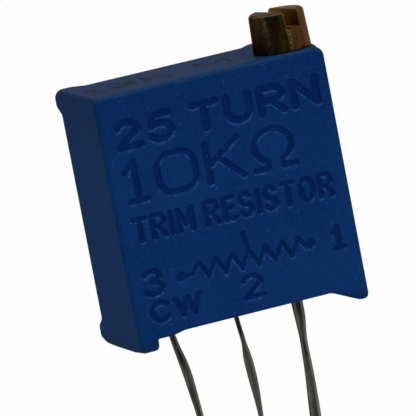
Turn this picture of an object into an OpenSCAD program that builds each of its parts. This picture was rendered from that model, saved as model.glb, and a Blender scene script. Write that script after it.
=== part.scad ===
// Multi-turn trimmer potentiometer with a square body, a worm-driven wiper
// and three leads.
//
// Millimetres. X runs from terminal 3 to terminal 1, the marked front face
// looks towards -Y and +Z is up. The origin is the middle of the row of leads,
// in the plane of the feet, where the part meets its board.

/* [Housing] */
// Width of the moulded body
body_w = 9.53; // [9:0.01:12]
// Height of the moulded body, without its feet
body_h = 9.53; // [9:0.01:12]
// Thickness of the moulded body, without its back pads
body_t = 4.33; // [4.2:0.01:6]
// Front face to the middle of the leads
front_to_leads = 2.41; // [2.4:0.01:2.6]
// Thickness of the front wall
front_wall = 0.60; // [0.4:0.01:0.62]
// Thickness of the side walls
side_wall = 0.80; // [0.6:0.01:1]
// Thickness of the top wall
top_wall = 0.85; // [0.7:0.01:1.1]
// Radius of the top corner beside the screw
corner_r = 0.45; // [0.2:0.05:0.9]
// Radius of the other corners of the outline
edge_r = 0.15; // [0.05:0.01:0.3]
// Radius of the edges round the front face
face_r = 0.12; // [0.05:0.01:0.15]
// Radius of the edges round the back
back_r = 0.06; // [0.02:0.01:0.1]

/* [Feet and back pads] */
// Height of the feet below the body
foot_h = 0.52; // [0.3:0.01:0.8]
// Width of the foot beside terminal 3
foot_w = 0.80; // [0.5:0.05:1.2]
// Width of the ledge inside that foot
ledge_w = 0.70; // [0.4:0.05:0.9]
// Drop of the ledge below the body
ledge_h = 0.10; // [0.05:0.01:0.2]
// Length of the ramps that lead from the ledge and to the other foot
ramp_w = 0.75; // [0.4:0.05:0.9]
// Width of the seat of the foot beside terminal 1
toe_w = 0.55; // [0.4:0.05:1]
// Thickness of the back pads
pad_t = 0.50; // [0.2:0.05:0.8]
// Width of the back pads on terminal 3's side
pad_w = 0.60; // [0.4:0.05:1.2]
// Width of the back pads on the screw's side
wide_pad_w = 1.30; // [0.6:0.05:1.8]
// Height of the back pads
pad_h = 0.60; // [0.4:0.05:1.2]
// Length of the slope at the inner ends of a back pad
pad_slope = 0.65; // [0.2:0.05:0.8]
// Radius of the outer corners of the pads
pad_r = 0.35; // [0.1:0.05:0.5]

/* [Adjusting screw] */
// Axis of the screw to the side face
screw_from_side = 1.22; // [1.22:0.01:1.6]
// Axis of the screw to the front face
screw_from_front = 1.27; // [1.22:0.01:1.4]
// Diameter of the slotted head
head_d = 2.20; // [1.8:0.01:2.2]
// Height of the head above the body
head_h = 1.52; // [1:0.02:2.5]
// Height of the bevel round the head's top
head_bevel = 0.10; // [0.02:0.01:0.2]
// Gap between the head's underside and the body
head_lift = 0.06; // [0.03:0.01:0.2]
// Width of the driver slot
slot_w = 0.64; // [0.3:0.01:0.8]
// Depth of the driver slot
slot_h = 0.66; // [0.3:0.01:1.2]
// Turn of the driver slot from the front-to-back line
slot_turn = 13; // [0:1:180]
// Diameter of the pilot at the foot of the screw
pilot_d = 0.84; // [0.76:0.01:1]
// Length of the pilot inside its bearing
pilot_len = 0.80; // [0.4:0.05:1.2]
// Radial running clearance of the screw in its bores
screw_gap = 0.05; // [0.02:0.01:0.06]

/* [Seal and clip] */
// Thickness of the O-ring's section
ring_t = 0.30; // [0.2:0.01:0.36]
// Depth of the O-ring's seat in the top of the body
ring_seat_h = 0.48; // [0.4:0.01:0.6]
// Clearance round the O-ring in its seat
ring_gap = 0.02; // [0.01:0.005:0.03]
// Top of the body to the middle of the retaining clip
clip_depth = 1.55; // [1.45:0.01:1.7]
// Thickness of the retaining clip
clip_t = 0.20; // [0.12:0.01:0.3]
// Outer diameter of the retaining clip
clip_d = 2.06; // [1.95:0.01:2.1]
// Diameter of the clip's groove in the screw
clip_groove_d = 0.92; // [0.8:0.01:1.1]
// Clearance at each side of the clip
clip_gap = 0.025; // [0.02:0.005:0.05]

/* [Worm drive] */
// Module of the worm and the wheel
gear_module = 0.20; // [0.16:0.01:0.22]
// Pitch radius of the worm
worm_pitch_r = 0.60; // [0.58:0.01:0.62]
// Pressure angle of the teeth
pressure_angle = 20; // [14:1:25]
// Play between the flanks, all together
backlash = 0.108; // [0.08:0.002:0.13]
// Thickness of the wheel's web
web_t = 0.50; // [0.3:0.05:0.7]
// Width of the wheel's rim under the teeth
rim_w = 0.50; // [0.3:0.05:0.8]
// Diameter of the wheel's hub
hub_d = 2.40; // [2:0.05:2.8]
// Diameter of the journal that turns in the ceramic
journal_d = 1.40; // [1:0.05:1.6]
// Radial running clearance of the journal
journal_gap = 0.04; // [0.02:0.01:0.08]
// Clearance round the wheel in its pocket
wheel_gap = 0.10; // [0.08:0.01:0.2]
// Clearance in front of the wheel's rim
rim_gap = 0.07; // [0.05:0.01:0.2]
// Clearance in front of the wheel's hub
hub_gap = 0.02; // [0.01:0.005:0.05]

/* [Resistance element] */
// Thickness of the ceramic
ceramic_t = 0.80; // [0.5:0.05:0.9]
// Clearance round the ceramic in its slot
ceramic_gap = 0.02; // [0.01:0.005:0.04]
// Thickness of the printed track and ring
print_t = 0.025; // [0.015:0.005:0.04]
// Middle of the resistance track inside the wheel's pitch circle
track_inset = 0.20; // [0.1:0.05:0.4]
// Space between the track and the collector ring
ring_space = 0.25; // [0.15:0.05:0.45]
// Width of the track and the ring
track_w = 0.45; // [0.3:0.05:0.55]
// Angle of the track to each side of its top
track_half_angle = 143; // [120:1:148]
// Width of the printed conductors
conductor_w = 0.32; // [0.2:0.02:0.4]
// Width and height of a terminal pad
land = [0.90, 0.80];

/* [Wiper] */
// Thickness of the spring strip
strip_t = 0.12; // [0.08:0.01:0.15]
// Width of one finger
finger_w = 0.24; // [0.16:0.02:0.3]
// Space between two fingers
finger_space = 0.08; // [0.05:0.01:0.12]
// Radius of the bent contact at a finger's end
contact_r = 0.12; // [0.1:0.01:0.15]
// Distance of the contact from the print when drawn
contact_gap = 0.012; // [0.01:0.001:0.02]
// Diameter of the posts that hold the wiper
post_d = 0.34; // [0.24:0.02:0.4]
// Wheel's axis to a post
post_at = 1.02; // [0.95:0.01:1.1]
// Radius of the wiper's plate
plate_r = 1.35; // [1.25:0.01:1.4]

/* [Leads] */
// Distance between leads
lead_pitch = 2.54; // [2.54:0.01:3]
// Width of the flat lead
lead_w = 0.50; // [0.3:0.01:0.6]
// Thickness of the flat lead
lead_t = 0.15; // [0.1:0.01:0.18]
// Length of the leads below the feet
lead_len = 6.20; // [3:0.1:12]
// Depth of the sealing compound
seal_h = 0.85; // [0.5:0.05:0.95]
// Distance of the compound's face above the body's underside
seal_recess = 0.10; // [0.02:0.01:0.2]

/* [Hidden] */

$fn = 64;
eps = 0.01;          // overshoot of a cut
embed = 0.05;        // depth to which joined forms enter each other
shelf_drop = 0.15;   // shelf of the lower bearing, below the foot of the worm
ceramic_foot = 0.35; // foot of the ceramic, above the face of the compound

// The body's faces.
left = -body_w / 2;
right = body_w / 2;
front = -front_to_leads;
back = front + body_t;
under = foot_h;
top = foot_h + body_h;

// The screw's axis, and the worm that is cut on it.
screw_x = right - screw_from_side;
screw_y = front + screw_from_front;
thread_pitch = PI * gear_module;
worm_tip_r = worm_pitch_r + gear_module;
worm_root_r = worm_pitch_r - 1.25 * gear_module;
bore_r = worm_tip_r + screw_gap;
pilot_r = pilot_d / 2;
head_r = head_d / 2;
lead_angle = atan(gear_module / 2 / worm_pitch_r);

// The print stands behind the leads, and the ceramic behind the print.
ceramic_front = lead_t / 2 + print_t;
ceramic_back = ceramic_front + ceramic_t;

// The wheel fills the pocket between the left wall and the worm.
pocket_left = left + side_wall;
pocket_front = front + front_wall;
pocket_top = top - top_wall;
low_room = under + seal_recess;
seal_top = low_room + seal_h;
land_top = seal_top + embed + land[1];
land_mid = land_top - land[1] / 2;
room_w = screw_x - worm_pitch_r - pocket_left - gear_module - wheel_gap;
room_h = pocket_top - land_top - 2 * (gear_module + wheel_gap);
teeth = floor(min(room_w, room_h) / gear_module + eps);
wheel_r = teeth * gear_module / 2;
wheel_tip_r = wheel_r + gear_module;
wheel_root_r = wheel_r - 1.25 * gear_module;
wheel_x = screw_x - worm_pitch_r - wheel_r;
wheel_z = pocket_top - wheel_gap - wheel_tip_r;

// The rim is as thick as the worm, where the front wall leaves room for that.
rim_half = min(worm_pitch_r, screw_from_front - front_wall - rim_gap);
wheel_front = screw_y - rim_half;
wheel_back = screw_y + rim_half;

// The pocket reaches far enough into the screw's bore to pass the rim, and
// below the screw it is as wide as the ceramic.
pocket_right = screw_x - sqrt(pow(bore_r, 2) - pow(rim_half, 2)) + wheel_gap;
foot_room_top = land_top + embed;

// Heights of the head, the seal and the clip.
head_low = top + head_lift;
head_top = top + head_h;
shank_r = worm_tip_r;
ring_seat_r = shank_r + ring_t + 1.25 * ring_gap;
ring_z = top - ring_seat_h + ring_gap + ring_t / 2;
clip_z = top - clip_depth;
clip_r = clip_d / 2;
clip_groove_r = clip_groove_d / 2;
clip_seat_r = clip_r + clip_gap;
half_clip = clip_t / 2 + clip_gap;

// The worm: an odd number of turns, so that a thread stands at the wheel's
// height. They cover the mesh and one more turn at each end to run out in, as
// far as the clip leaves room. The run-out ends inside the pilot below and the
// shank above.
run_out = 1.25 * thread_pitch;
mesh_half = sqrt(pow(wheel_tip_r, 2) - pow(wheel_r - gear_module, 2));
mesh_turns = 2 * ceil(mesh_half / thread_pitch) + 1;
room_turns = 2 * floor((clip_z - half_clip - wheel_z + run_out) / thread_pitch - 0.5) + 1;
worm_turns = min(mesh_turns + 2, room_turns);
worm_low = wheel_z - worm_turns / 2 * thread_pitch;
worm_high = wheel_z + worm_turns / 2 * thread_pitch;
worm_sides = 24;
shelf_top = worm_low + run_out - shelf_drop;
pilot_low = shelf_top - pilot_len;

// The ceramic reaches from the compound to the top of the pocket.
slot_top = pocket_top - embed;
ceramic_low = low_room + ceramic_foot;
ceramic_high = slot_top - ceramic_gap;
print_front = ceramic_front - print_t;

// The circles of the prints, and the wiper's plate on the back of the wheel.
track_r = wheel_r - track_inset;
collector_r = track_r - track_w - ring_space;
plate_back = wheel_back + strip_t;
contact_back = print_front - contact_gap;

// The leads of terminals 1 to 3: a flat blade on the ceramic, a twist inside
// the compound, and slight bends below. Each row has pairs of the depth below
// the body and the shift to the side, then pairs of the depth and the turn of
// the flat.
leads = [
    [[[0, 0], [0.9, 0.04], [2.2, 0.01], [3.8, -0.02], [7, -0.20]],
     [[0, -64], [1.1, -76], [1.9, -94], [2.7, -91], [4.7, -70], [7, -50]]],
    [[[0, 0], [0.9, 0.07], [2.2, 0.17], [3.8, 0.25], [7, 0.26]],
     [[0, 72], [1.2, 72], [2.1, 96], [2.8, 97], [4.2, 78], [7, 48]]],
    [[[0, 0], [0.9, -0.08], [2.2, 0.19], [3.8, 0.35], [7, 0.65]],
     [[0, 78], [0.9, 88], [1.7, 100], [2.5, 97], [3.6, 89], [7, 84]]]
];
lead_rings = 36;
solder_edge = 0.07;
lead_top = land_top - 2 * solder_edge;
blade_low = ceramic_low - ceramic_gap;

body_blue = "#0d3f8a";
brass = "#8a6a35";
tin = "#8f9091";
nylon = "#e6e1d2";
alumina = "#efefec";
silver_print = "#b9bab6";

// Moves children from the drawing plane to the plane of the front face: the
// drawing's x and y become X and Z, and the extrusion runs towards the back.
module upright(from) {
    translate([0, from, 0]) mirror([0, 1, 0]) rotate([90, 0, 0]) children();
}

// A box between two corners.
module block(low, high) {
    translate(low) cube(high - low);
}

// A round bar or bore along Z, between two heights on the screw's axis.
module screw_bar(low, high, r) {
    translate([screw_x, screw_y, low]) cylinder(r = r, h = high - low);
}

// A round bar or bore along Y, between two depths on the wheel's axis.
module wheel_bar(low, high, r) {
    translate([wheel_x, low, wheel_z]) rotate([-90, 0, 0]) cylinder(r = r, h = high - low);
}

// What rounding takes off a corner of an outline. The corner is at the origin
// and the outline lies towards +x and +y.
module corner_waste(r) {
    difference() {
        translate([-1, -1]) square(1 + r);
        translate([r, r]) circle(r);
    }
}

// ---- Housing ----

// The body's outline from the front, with its feet.
module body_outline() {
    toe = right - toe_w;
    foot = left + foot_w;
    ledge = foot + ledge_w;
    difference() {
        polygon([
            [left, top], [left, 0], [foot, 0], [foot, under - ledge_h],
            [ledge, under - ledge_h], [ledge + ramp_w, under],
            [toe - ramp_w, under], [toe, 0], [right, 0], [right, top]
        ]);
        translate([left, top]) mirror([0, 1]) corner_waste(edge_r);
        translate([right, top]) mirror([1, 0]) mirror([0, 1]) corner_waste(corner_r);
        translate([left, 0]) corner_waste(edge_r);
        translate([foot, 0]) mirror([1, 0]) corner_waste(edge_r / 2);
        translate([right, 0]) mirror([1, 0]) corner_waste(edge_r);
    }
}

// A pad's section: flat for w, then down an easy curve to the back of the body.
module pad_section(w) {
    steps = 6;
    polygon([
        [0, -embed],
        [0, pad_t],
        for (k = [0:steps])
            [w + pad_slope * k / steps, pad_t * (1 + cos(180 * k / steps)) / 2],
        [w + pad_slope, -embed]
    ]);
}

// One pad at a back corner, with a curved slope at its two inner ends.
module back_pad(w) {
    intersection() {
        translate([0, back, 0]) linear_extrude(body_h) pad_section(w);
        translate([0, back, 0]) rotate([90, 0, 90]) linear_extrude(body_w)
            mirror([1, -1]) pad_section(pad_h);
        upright(back - embed) linear_extrude(pad_t + 2 * embed) difference() {
            square([body_w, body_h]);
            corner_waste(pad_r);
        }
    }
}

// The four pads.
module back_pads() {
    for (high = [0, 1], far = [0, 1])
        translate([far ? right : left, 0, high ? top : 0])
            mirror([far, 0, 0]) mirror([0, 0, high]) back_pad(far ? wide_pad_w : pad_w);
}

// A section of the body, from face to face across one way and from front to
// back across the other, with its long edges rounded.
module rounded_section(low, high) {
    deep = back + pad_t;
    difference() {
        translate([low, front]) square([high - low, deep - front]);
        translate([low, front]) corner_waste(face_r);
        translate([high, front]) mirror([1, 0]) corner_waste(face_r);
        translate([low, deep]) mirror([0, 1]) corner_waste(back_r);
        translate([high, deep]) mirror([1, 0]) mirror([0, 1]) corner_waste(back_r);
    }
}

// The body's form from outside: one outline from the front, one from the side
// and one from the top.
module body_form() {
    intersection() {
        union() {
            upright(front) linear_extrude(body_t) body_outline();
            back_pads();
        }
        upright(front - eps) linear_extrude(body_t + pad_t + 2 * eps) body_outline();
        linear_extrude(top + eps) rounded_section(left, right);
        translate([left - eps, 0, 0]) rotate([90, 0, 90]) linear_extrude(body_w + 2 * eps)
            mirror([1, -1]) rounded_section(-eps, top);
    }
}

// The pocket for the wheel, the slot for the ceramic behind it, and the bores
// that the screw turns in.
module housing_space() {
    block([pocket_left, pocket_front, -eps], [pocket_right, ceramic_front, pocket_top]);
    block([pocket_left, pocket_front, -eps], [-pocket_left, ceramic_front, foot_room_top]);
    block([pocket_left, ceramic_front - ceramic_gap, -eps],
          [-pocket_left, ceramic_back + ceramic_gap, slot_top]);
    screw_bar(top - ring_seat_h, top + eps, ring_seat_r);
    screw_bar(shelf_top - eps, top, bore_r);
    screw_bar(pilot_low - screw_gap, top, pilot_r + screw_gap);
    clip_seat();
}

// The clip's seat round the bore, and the way it is pushed in by.
module clip_seat() {
    screw_bar(clip_z - half_clip, clip_z + half_clip, clip_seat_r);
    block([pocket_right - clip_r, screw_y - clip_seat_r, clip_z - half_clip],
          [screw_x, screw_y + clip_seat_r, clip_z + half_clip]);
}

module housing() {
    color(body_blue) difference() {
        body_form();
        housing_space();
    }
}

// ---- Adjusting screw ----

// Radius and height of the corners of one turn of the thread's section.
thread_half = (thread_pitch - backlash) / 4;
flank = tan(pressure_angle);
tip_half = thread_half - gear_module * flank;
root_half = thread_half + 1.25 * gear_module * flank;
thread_corners = [
    [worm_root_r, -root_half], [worm_tip_r, -tip_half],
    [worm_tip_r, tip_half], [worm_root_r, root_half]
];

// How far the thread has risen out of its core, from 0 at its ends to 1.
function thread_rise(z) =
    let (inside = min(z - worm_low, worm_high - z) - run_out - embed)
    min(1, max(0, inside / (thread_pitch / 3)));

// A corner of the worm: column i round the core, row j up it.
function worm_point(i, j) =
    let (
        corner = thread_corners[j % 4],
        z = worm_low + thread_pitch * (i / worm_sides + floor(j / 4) + 0.5) + corner[1],
        r = worm_root_r + (corner[0] - worm_root_r) * thread_rise(z),
        a = 360 * i / worm_sides
    )
    [r * cos(a), r * sin(a), z];

// A single-start right-hand worm with its core. The columns go round once,
// and the last one meets the first a turn, or four rows, higher up.
module worm() {
    rows = 4 * worm_turns - 3;
    last = rows - 1;
    points = [
        for (i = [0:worm_sides - 1], j = [0:last]) worm_point(i, j),
        [0, 0, worm_low], [0, 0, worm_high]
    ];
    function at(i, j) = i < worm_sides ? i * rows + j : j + 4;
    sides = [
        for (i = [0:worm_sides - 1], j = [0:last - (i < worm_sides - 1 ? 1 : 5)])
            each [[at(i, j), at(i, j + 1), at(i + 1, j)],
                  [at(i + 1, j), at(i, j + 1), at(i + 1, j + 1)]]
    ];
    foot = [for (i = [0:worm_sides - 1]) at(i, 0), at(0, 4), at(0, 3), at(0, 2), at(0, 1)];
    crown_end = worm_sides - 1;
    crown = [
        for (i = [0:crown_end - 1]) at(i, last),
        at(crown_end, last), at(crown_end, last - 1), at(crown_end, last - 2),
        at(crown_end, last - 3), at(crown_end, last - 4)
    ];
    n = len(foot);
    low = len(points) - 2;
    caps = [
        for (k = [0:n - 1]) [low, foot[k], foot[(k + 1) % n]],
        for (k = [0:n - 1]) [low + 1, crown[(k + 1) % n], crown[k]]
    ];
    polyhedron(points, concat(sides, caps));
}

module adjusting_screw() {
    color(brass) difference() {
        union() {
            screw_bar(head_low, head_top - head_bevel, head_r);
            translate([screw_x, screw_y, head_top - head_bevel])
                cylinder(r1 = head_r, r2 = head_r - head_bevel, h = head_bevel);
            screw_bar(clip_z + half_clip, head_low + eps, shank_r);
            screw_bar(clip_z - half_clip, clip_z + half_clip, clip_groove_r);
            screw_bar(worm_high - run_out, clip_z - half_clip, shank_r);
            translate([screw_x, screw_y, 0]) worm();
            screw_bar(pilot_low, worm_low + run_out, pilot_r);
        }
        translate([screw_x, screw_y, head_top - slot_h]) rotate(slot_turn)
            translate([-slot_w / 2, -head_d, 0]) cube([slot_w, 2 * head_d, head_h]);
    }
}

module shaft_seal() {
    color("#3a3a3a") translate([screw_x, screw_y, ring_z]) rotate_extrude()
        translate([shank_r + ring_t / 2 + ring_gap / 4, 0]) circle(d = ring_t, $fn = 32);
}

// A flat horseshoe, pushed in from the wheel's side with its mouth leading.
module retaining_clip() {
    inner = clip_groove_r + clip_gap;
    mouth = 0.9 * inner;
    color("#c3c6c9") translate([screw_x, screw_y, clip_z - clip_t / 2]) linear_extrude(clip_t)
        difference() {
            circle(clip_r);
            circle(inner);
            translate([0, -mouth]) square([clip_d, 2 * mouth]);
        }
}

// ---- Worm wheel and wiper ----

function involute(a) = tan(a) - a * PI / 180;

// Half the width of a wheel tooth at radius r, on an involute flank.
base_r = wheel_r * cos(pressure_angle);
function tooth_half(r) =
    let (
        at_pitch = thread_half / wheel_r + involute(pressure_angle),
        turn = r > base_r ? involute(acos(base_r / r)) : 0
    )
    r * (at_pitch - turn);

module wheel_tooth() {
    radii = [wheel_root_r - embed, base_r, wheel_r, wheel_r + gear_module / 2, wheel_tip_r + eps];
    side = [for (r = radii) [r, tooth_half(r)]];
    other = [for (k = [len(radii) - 1:-1:0]) [radii[k], -tooth_half(radii[k])]];
    rotate([90 - lead_angle, 0, 0]) linear_extrude(2.4 * rim_half, center = true)
        polygon(concat(side, other));
}

module worm_wheel() {
    hub_front = pocket_front + hub_gap;
    color(nylon) difference() {
        union() {
            intersection() {
                wheel_bar(wheel_front, wheel_back, wheel_tip_r);
                translate([wheel_x, screw_y, wheel_z]) for (k = [0:teeth - 1])
                    rotate([0, 360 * k / teeth, 0]) wheel_tooth();
            }
            wheel_bar(wheel_front, wheel_back, wheel_root_r);
            wheel_bar(hub_front, wheel_back, hub_d / 2);
            wheel_bar(wheel_back - embed, ceramic_back, journal_d / 2);
            wiper_posts(post_d / 2, plate_back + 0.10);
        }
        difference() {
            wheel_bar(wheel_front - eps, wheel_back - web_t, wheel_root_r - rim_w);
            wheel_bar(hub_front - eps, wheel_back, hub_d / 2);
        }
    }
}

// The two posts on the wheel, or the holes that fit over them.
module wiper_posts(r, high) {
    for (side = [-1, 1])
        translate([wheel_x + side * post_at, wheel_back - embed, wheel_z])
            rotate([-90, 0, 0]) cylinder(r = r, h = high - wheel_back + embed, $fn = 32);
}

// A finger that climbs from the plate to a round contact at radius r, drawn
// pointing up and centred on the wheel's axis.
module wiper_finger(r) {
    rise = contact_back - contact_r;
    translate([finger_w / 2, 0, 0]) rotate([0, -90, 0]) linear_extrude(finger_w) {
        polygon([
            [plate_r - 0.3, wheel_back], [plate_r - 0.3, plate_back], [plate_r, plate_back],
            [r, rise + strip_t / 2], [r, rise - strip_t / 2], [plate_r, wheel_back]
        ]);
        translate([r, rise]) circle(contact_r, $fn = 32);
    }
}

// One stamped spring: a plate on the wheel, three fingers on the track and
// two on the collector ring.
module wiper_spring() {
    step = finger_w + finger_space;
    color("#c9a24a") difference() {
        translate([wheel_x, 0, wheel_z]) {
            translate([-wheel_x, 0, -wheel_z]) wheel_bar(wheel_back, plate_back, plate_r);
            for (k = [-1:1]) translate([k * step, 0, 0]) wiper_finger(track_r);
            for (k = [-0.5, 0.5]) translate([k * step, 0, 0])
                rotate([0, 180, 0]) wiper_finger(collector_r);
        }
        wheel_bar(wheel_back - eps, plate_back + eps, journal_d / 2 + 0.01);
        wiper_posts(post_d / 2 + 0.01, plate_back + eps);
    }
}

// ---- Resistance element ----

module ceramic_plate() {
    color(alumina) difference() {
        block([pocket_left + ceramic_gap, ceramic_front, ceramic_low],
              [-pocket_left - ceramic_gap, ceramic_back, ceramic_high]);
        wheel_bar(ceramic_front - eps, ceramic_back + eps, journal_d / 2 + journal_gap);
    }
}

// A printed form on the front of the ceramic.
module print(colour) {
    color(colour) upright(print_front) linear_extrude(print_t) children();
}

// A piece of a flat ring round the wheel's axis, between two angles from its
// top, clockwise as seen from the front.
module arc_band(r, w, from, to) {
    reach = 2 * r;
    steps = 6;
    translate([wheel_x, wheel_z]) intersection() {
        difference() {
            circle(r + w / 2, $fn = 96);
            circle(r - w / 2, $fn = 96);
        }
        polygon([
            [0, 0],
            for (k = [0:steps])
                let (a = from + (to - from) * k / steps) reach * [sin(a), cos(a)]
        ]);
    }
}

// A straight strip between two points of the drawing plane.
module strip(from, to, w) {
    way = to - from;
    translate(from) rotate(atan2(way[1], way[0])) translate([0, -w / 2]) square([norm(way), w]);
}

module resistance_track() {
    print("#2b2b2b") arc_band(track_r, track_w, -track_half_angle, track_half_angle);
}

module collector_ring() {
    print(silver_print) translate([wheel_x, wheel_z]) difference() {
        circle(collector_r + track_w / 2, $fn = 96);
        circle(collector_r - track_w / 2, $fn = 96);
    }
}

// The middle of a terminal's pad and lead.
function lead_x(terminal) = (2 - terminal) * lead_pitch;

module terminal_land(terminal) {
    translate([lead_x(terminal), land_mid]) square(land, center = true);
}

// The conductor from one end of the track to its pad. side is -1 for terminal
// 3, on the left, and 1 for terminal 1.
module end_conductor(terminal, side) {
    tail = 8;  // angle that the conductor goes on past the track's end
    middle = track_half_angle + tail / 2;
    start = [wheel_x + side * track_r * sin(middle), wheel_z + track_r * cos(middle)];
    print(silver_print) difference() {
        union() {
            arc_band(track_r, track_w, side * track_half_angle, side * (track_half_angle + tail));
            strip(start, [lead_x(terminal), land_mid], conductor_w);
            terminal_land(terminal);
        }
        arc_band(track_r, track_w, -track_half_angle, track_half_angle);
    }
}

module conductor_1() {
    end_conductor(1, 1);
}

module conductor_3() {
    end_conductor(3, -1);
}

// The conductor from the bottom of the collector ring to its pad.
module conductor_2() {
    foot = [wheel_x, wheel_z - collector_r];
    print(silver_print) difference() {
        union() {
            strip(foot, [lead_x(2), land_mid], conductor_w);
            terminal_land(2);
        }
        translate([wheel_x, wheel_z]) circle(collector_r + track_w / 2, $fn = 96);
    }
}

// ---- Leads, solder and compound ----

// Turn of the flat and shift of the lead's middle at a height.
function lead_turn(turns, z) =
    z > under ? lookup(z, [[under, turns[0][1]], [blade_low, 0]]) : lookup(under - z, turns);
function lead_shift(shifts, z) = z > under ? 0 : lookup(under - z, shifts);

// A ring of four corners of the lead.
function lead_ring(lead, z) =
    let (
        turn = lead_turn(lead[1], z),
        middle = lead_shift(lead[0], z),
        c = cos(turn), s = sin(turn),
        w = lead_w / 2, t = lead_t / 2
    )
    [for (q = [[-w, -t], [w, -t], [w, t], [-w, t]])
        [middle + q[0] * c - q[1] * s, q[0] * s + q[1] * c, z]];

module flat_lead(terminal) {
    lead = leads[terminal - 1];
    heights = [
        lead_top, for (k = [0:lead_rings]) blade_low - (blade_low + lead_len) * k / lead_rings
    ];
    points = [for (z = heights) each lead_ring(lead, z)];
    rings = len(heights);
    sides = [
        for (k = [0:rings - 2], q = [0:3])
            let (a = 4 * k + q, b = 4 * k + (q + 1) % 4)
            each [[a, b, a + 4], [b, b + 4, a + 4]]
    ];
    last = 4 * (rings - 1);
    ends = [[3, 2, 1, 0], [last, last + 1, last + 2, last + 3]];
    translate([lead_x(terminal), 0, 0]) polyhedron(points, concat(sides, ends));
}

module lead(terminal) {
    color(tin) flat_lead(terminal);
}

// A mound of solder that holds the top of a lead to its pad.
module solder_joint(terminal) {
    x = lead_x(terminal);
    r = land[0] / 2 - solder_edge;
    low = land_top - land[1] + solder_edge;
    high = land_top - solder_edge;
    color("#a9abac") difference() {
        intersection() {
            translate([x, print_front, low]) cylinder(r = r, h = high - low);
            block([x - r, print_front - r, low], [x + r, print_front, high]);
        }
        block([x - lead_w / 2, -lead_t / 2, low - eps], [x + lead_w / 2, lead_t / 2 + eps, lead_top]);
    }
}

// The compound closes the pocket and holds the leads and the ceramic's foot.
module sealing_compound() {
    color("#1b3d6e") difference() {
        block([pocket_left, pocket_front, low_room],
              [-pocket_left, ceramic_back + ceramic_gap, seal_top]);
        block([pocket_left + ceramic_gap, ceramic_front, ceramic_low],
              [-pocket_left - ceramic_gap, ceramic_back, seal_top + eps]);
        for (terminal = [1:3]) flat_lead(terminal);
    }
}

housing();
adjusting_screw();
shaft_seal();
retaining_clip();
worm_wheel();
wiper_spring();
ceramic_plate();
resistance_track();
collector_ring();
conductor_1();
conductor_2();
conductor_3();
solder_joint(1);  // solder_joint_1
solder_joint(2);  // solder_joint_2
solder_joint(3);  // solder_joint_3
lead(1);  // lead_1
lead(2);  // lead_2
lead(3);  // lead_3
sealing_compound();
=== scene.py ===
# %% [markdown]
# # A multi-turn trimmer potentiometer
#
# The real part is a blue moulded block, less than 10 mm square. A brass screw stands in one
# corner of its top, and three flat tinned leads hang below it. Inside, the screw is a worm that
# turns a nylon wheel, and the wheel carries a spring wiper over a printed resistance track.
#
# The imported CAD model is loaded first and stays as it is. Pieces that are seen from outside are
# modelled again here, finer than the CAD, around the same sizes. Pieces inside keep their CAD
# shape and get a finish of their own.

import math

import bmesh
import bpy
import numpy as np
from mathutils import Matrix, Vector, geometry


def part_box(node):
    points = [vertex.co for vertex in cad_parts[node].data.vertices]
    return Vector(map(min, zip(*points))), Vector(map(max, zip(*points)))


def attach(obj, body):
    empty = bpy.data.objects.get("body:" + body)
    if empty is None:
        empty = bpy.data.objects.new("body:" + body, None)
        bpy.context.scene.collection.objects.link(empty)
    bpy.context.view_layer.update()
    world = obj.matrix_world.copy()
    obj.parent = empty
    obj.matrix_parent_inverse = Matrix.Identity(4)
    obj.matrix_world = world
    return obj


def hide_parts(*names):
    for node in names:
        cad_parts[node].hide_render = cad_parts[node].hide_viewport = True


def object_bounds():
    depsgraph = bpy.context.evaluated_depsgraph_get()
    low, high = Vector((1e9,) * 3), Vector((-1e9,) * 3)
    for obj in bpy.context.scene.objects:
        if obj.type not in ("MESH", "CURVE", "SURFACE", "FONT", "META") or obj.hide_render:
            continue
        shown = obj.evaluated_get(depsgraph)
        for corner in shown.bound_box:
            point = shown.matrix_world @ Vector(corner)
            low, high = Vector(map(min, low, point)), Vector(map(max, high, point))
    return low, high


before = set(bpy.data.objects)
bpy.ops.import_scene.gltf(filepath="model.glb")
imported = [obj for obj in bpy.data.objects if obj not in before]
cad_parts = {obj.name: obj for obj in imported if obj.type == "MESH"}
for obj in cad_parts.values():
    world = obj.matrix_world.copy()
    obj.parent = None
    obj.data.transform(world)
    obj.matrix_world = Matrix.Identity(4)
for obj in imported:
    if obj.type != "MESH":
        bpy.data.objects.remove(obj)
cad_low, cad_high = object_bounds()
print("CAD nodes:", ", ".join(sorted(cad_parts)))

# %% [markdown]
# ## Working in millimetres
#
# Blender's unit here is the metre, and this part is a few thousandths of one. Booleans and
# distances are safer on numbers near 1, so every mesh is made in millimetres and is scaled down
# once, when it is finished. The places come from the CAD nodes' boxes.

# %% Sizes from the frame
MM = 0.001


def box_mm(node):
    """The lowest and the highest corner of a CAD node, in millimetres."""
    return [np.array(corner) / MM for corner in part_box(node)]


(left, front, _), (right, pads_back, top) = box_mm("housing")
screw_low, screw_high = box_mm("adjusting_screw")
seal_low, seal_high = box_mm("sealing_compound")
head_r = (screw_high[0] - screw_low[0]) / 2
screw_x, screw_y = ((screw_low + screw_high) / 2)[:2]
print(f"body {right - left:.2f} mm wide, screw at {screw_x:.3f}, {screw_y:.3f}, head radius {head_r:.3f}")

# %% [markdown]
# ## Meshes from rings
#
# Most shapes of this part are a stack of closed rings: the block's outline from front to back,
# the turned screw from foot to head, a lead's section down its length. One helper joins such
# rings with quads and closes the two ends, and another hands the result to Blender.

# %% Rings to a closed mesh
def skin(rings, caps=True):
    """Points and faces of a closed skin over rings that all have the same number of points."""
    count = len(rings[0])
    faces = []
    for k in range(len(rings) - 1):
        low, high = k * count, (k + 1) * count
        for i in range(count):
            j = (i + 1) % count
            faces.append((low + i, low + j, high + j, high + i))
    if caps:
        faces.append(tuple(range(count)))
        faces.append(tuple(range((len(rings) - 1) * count, len(rings) * count)))
    return np.concatenate(rings), faces


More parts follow.
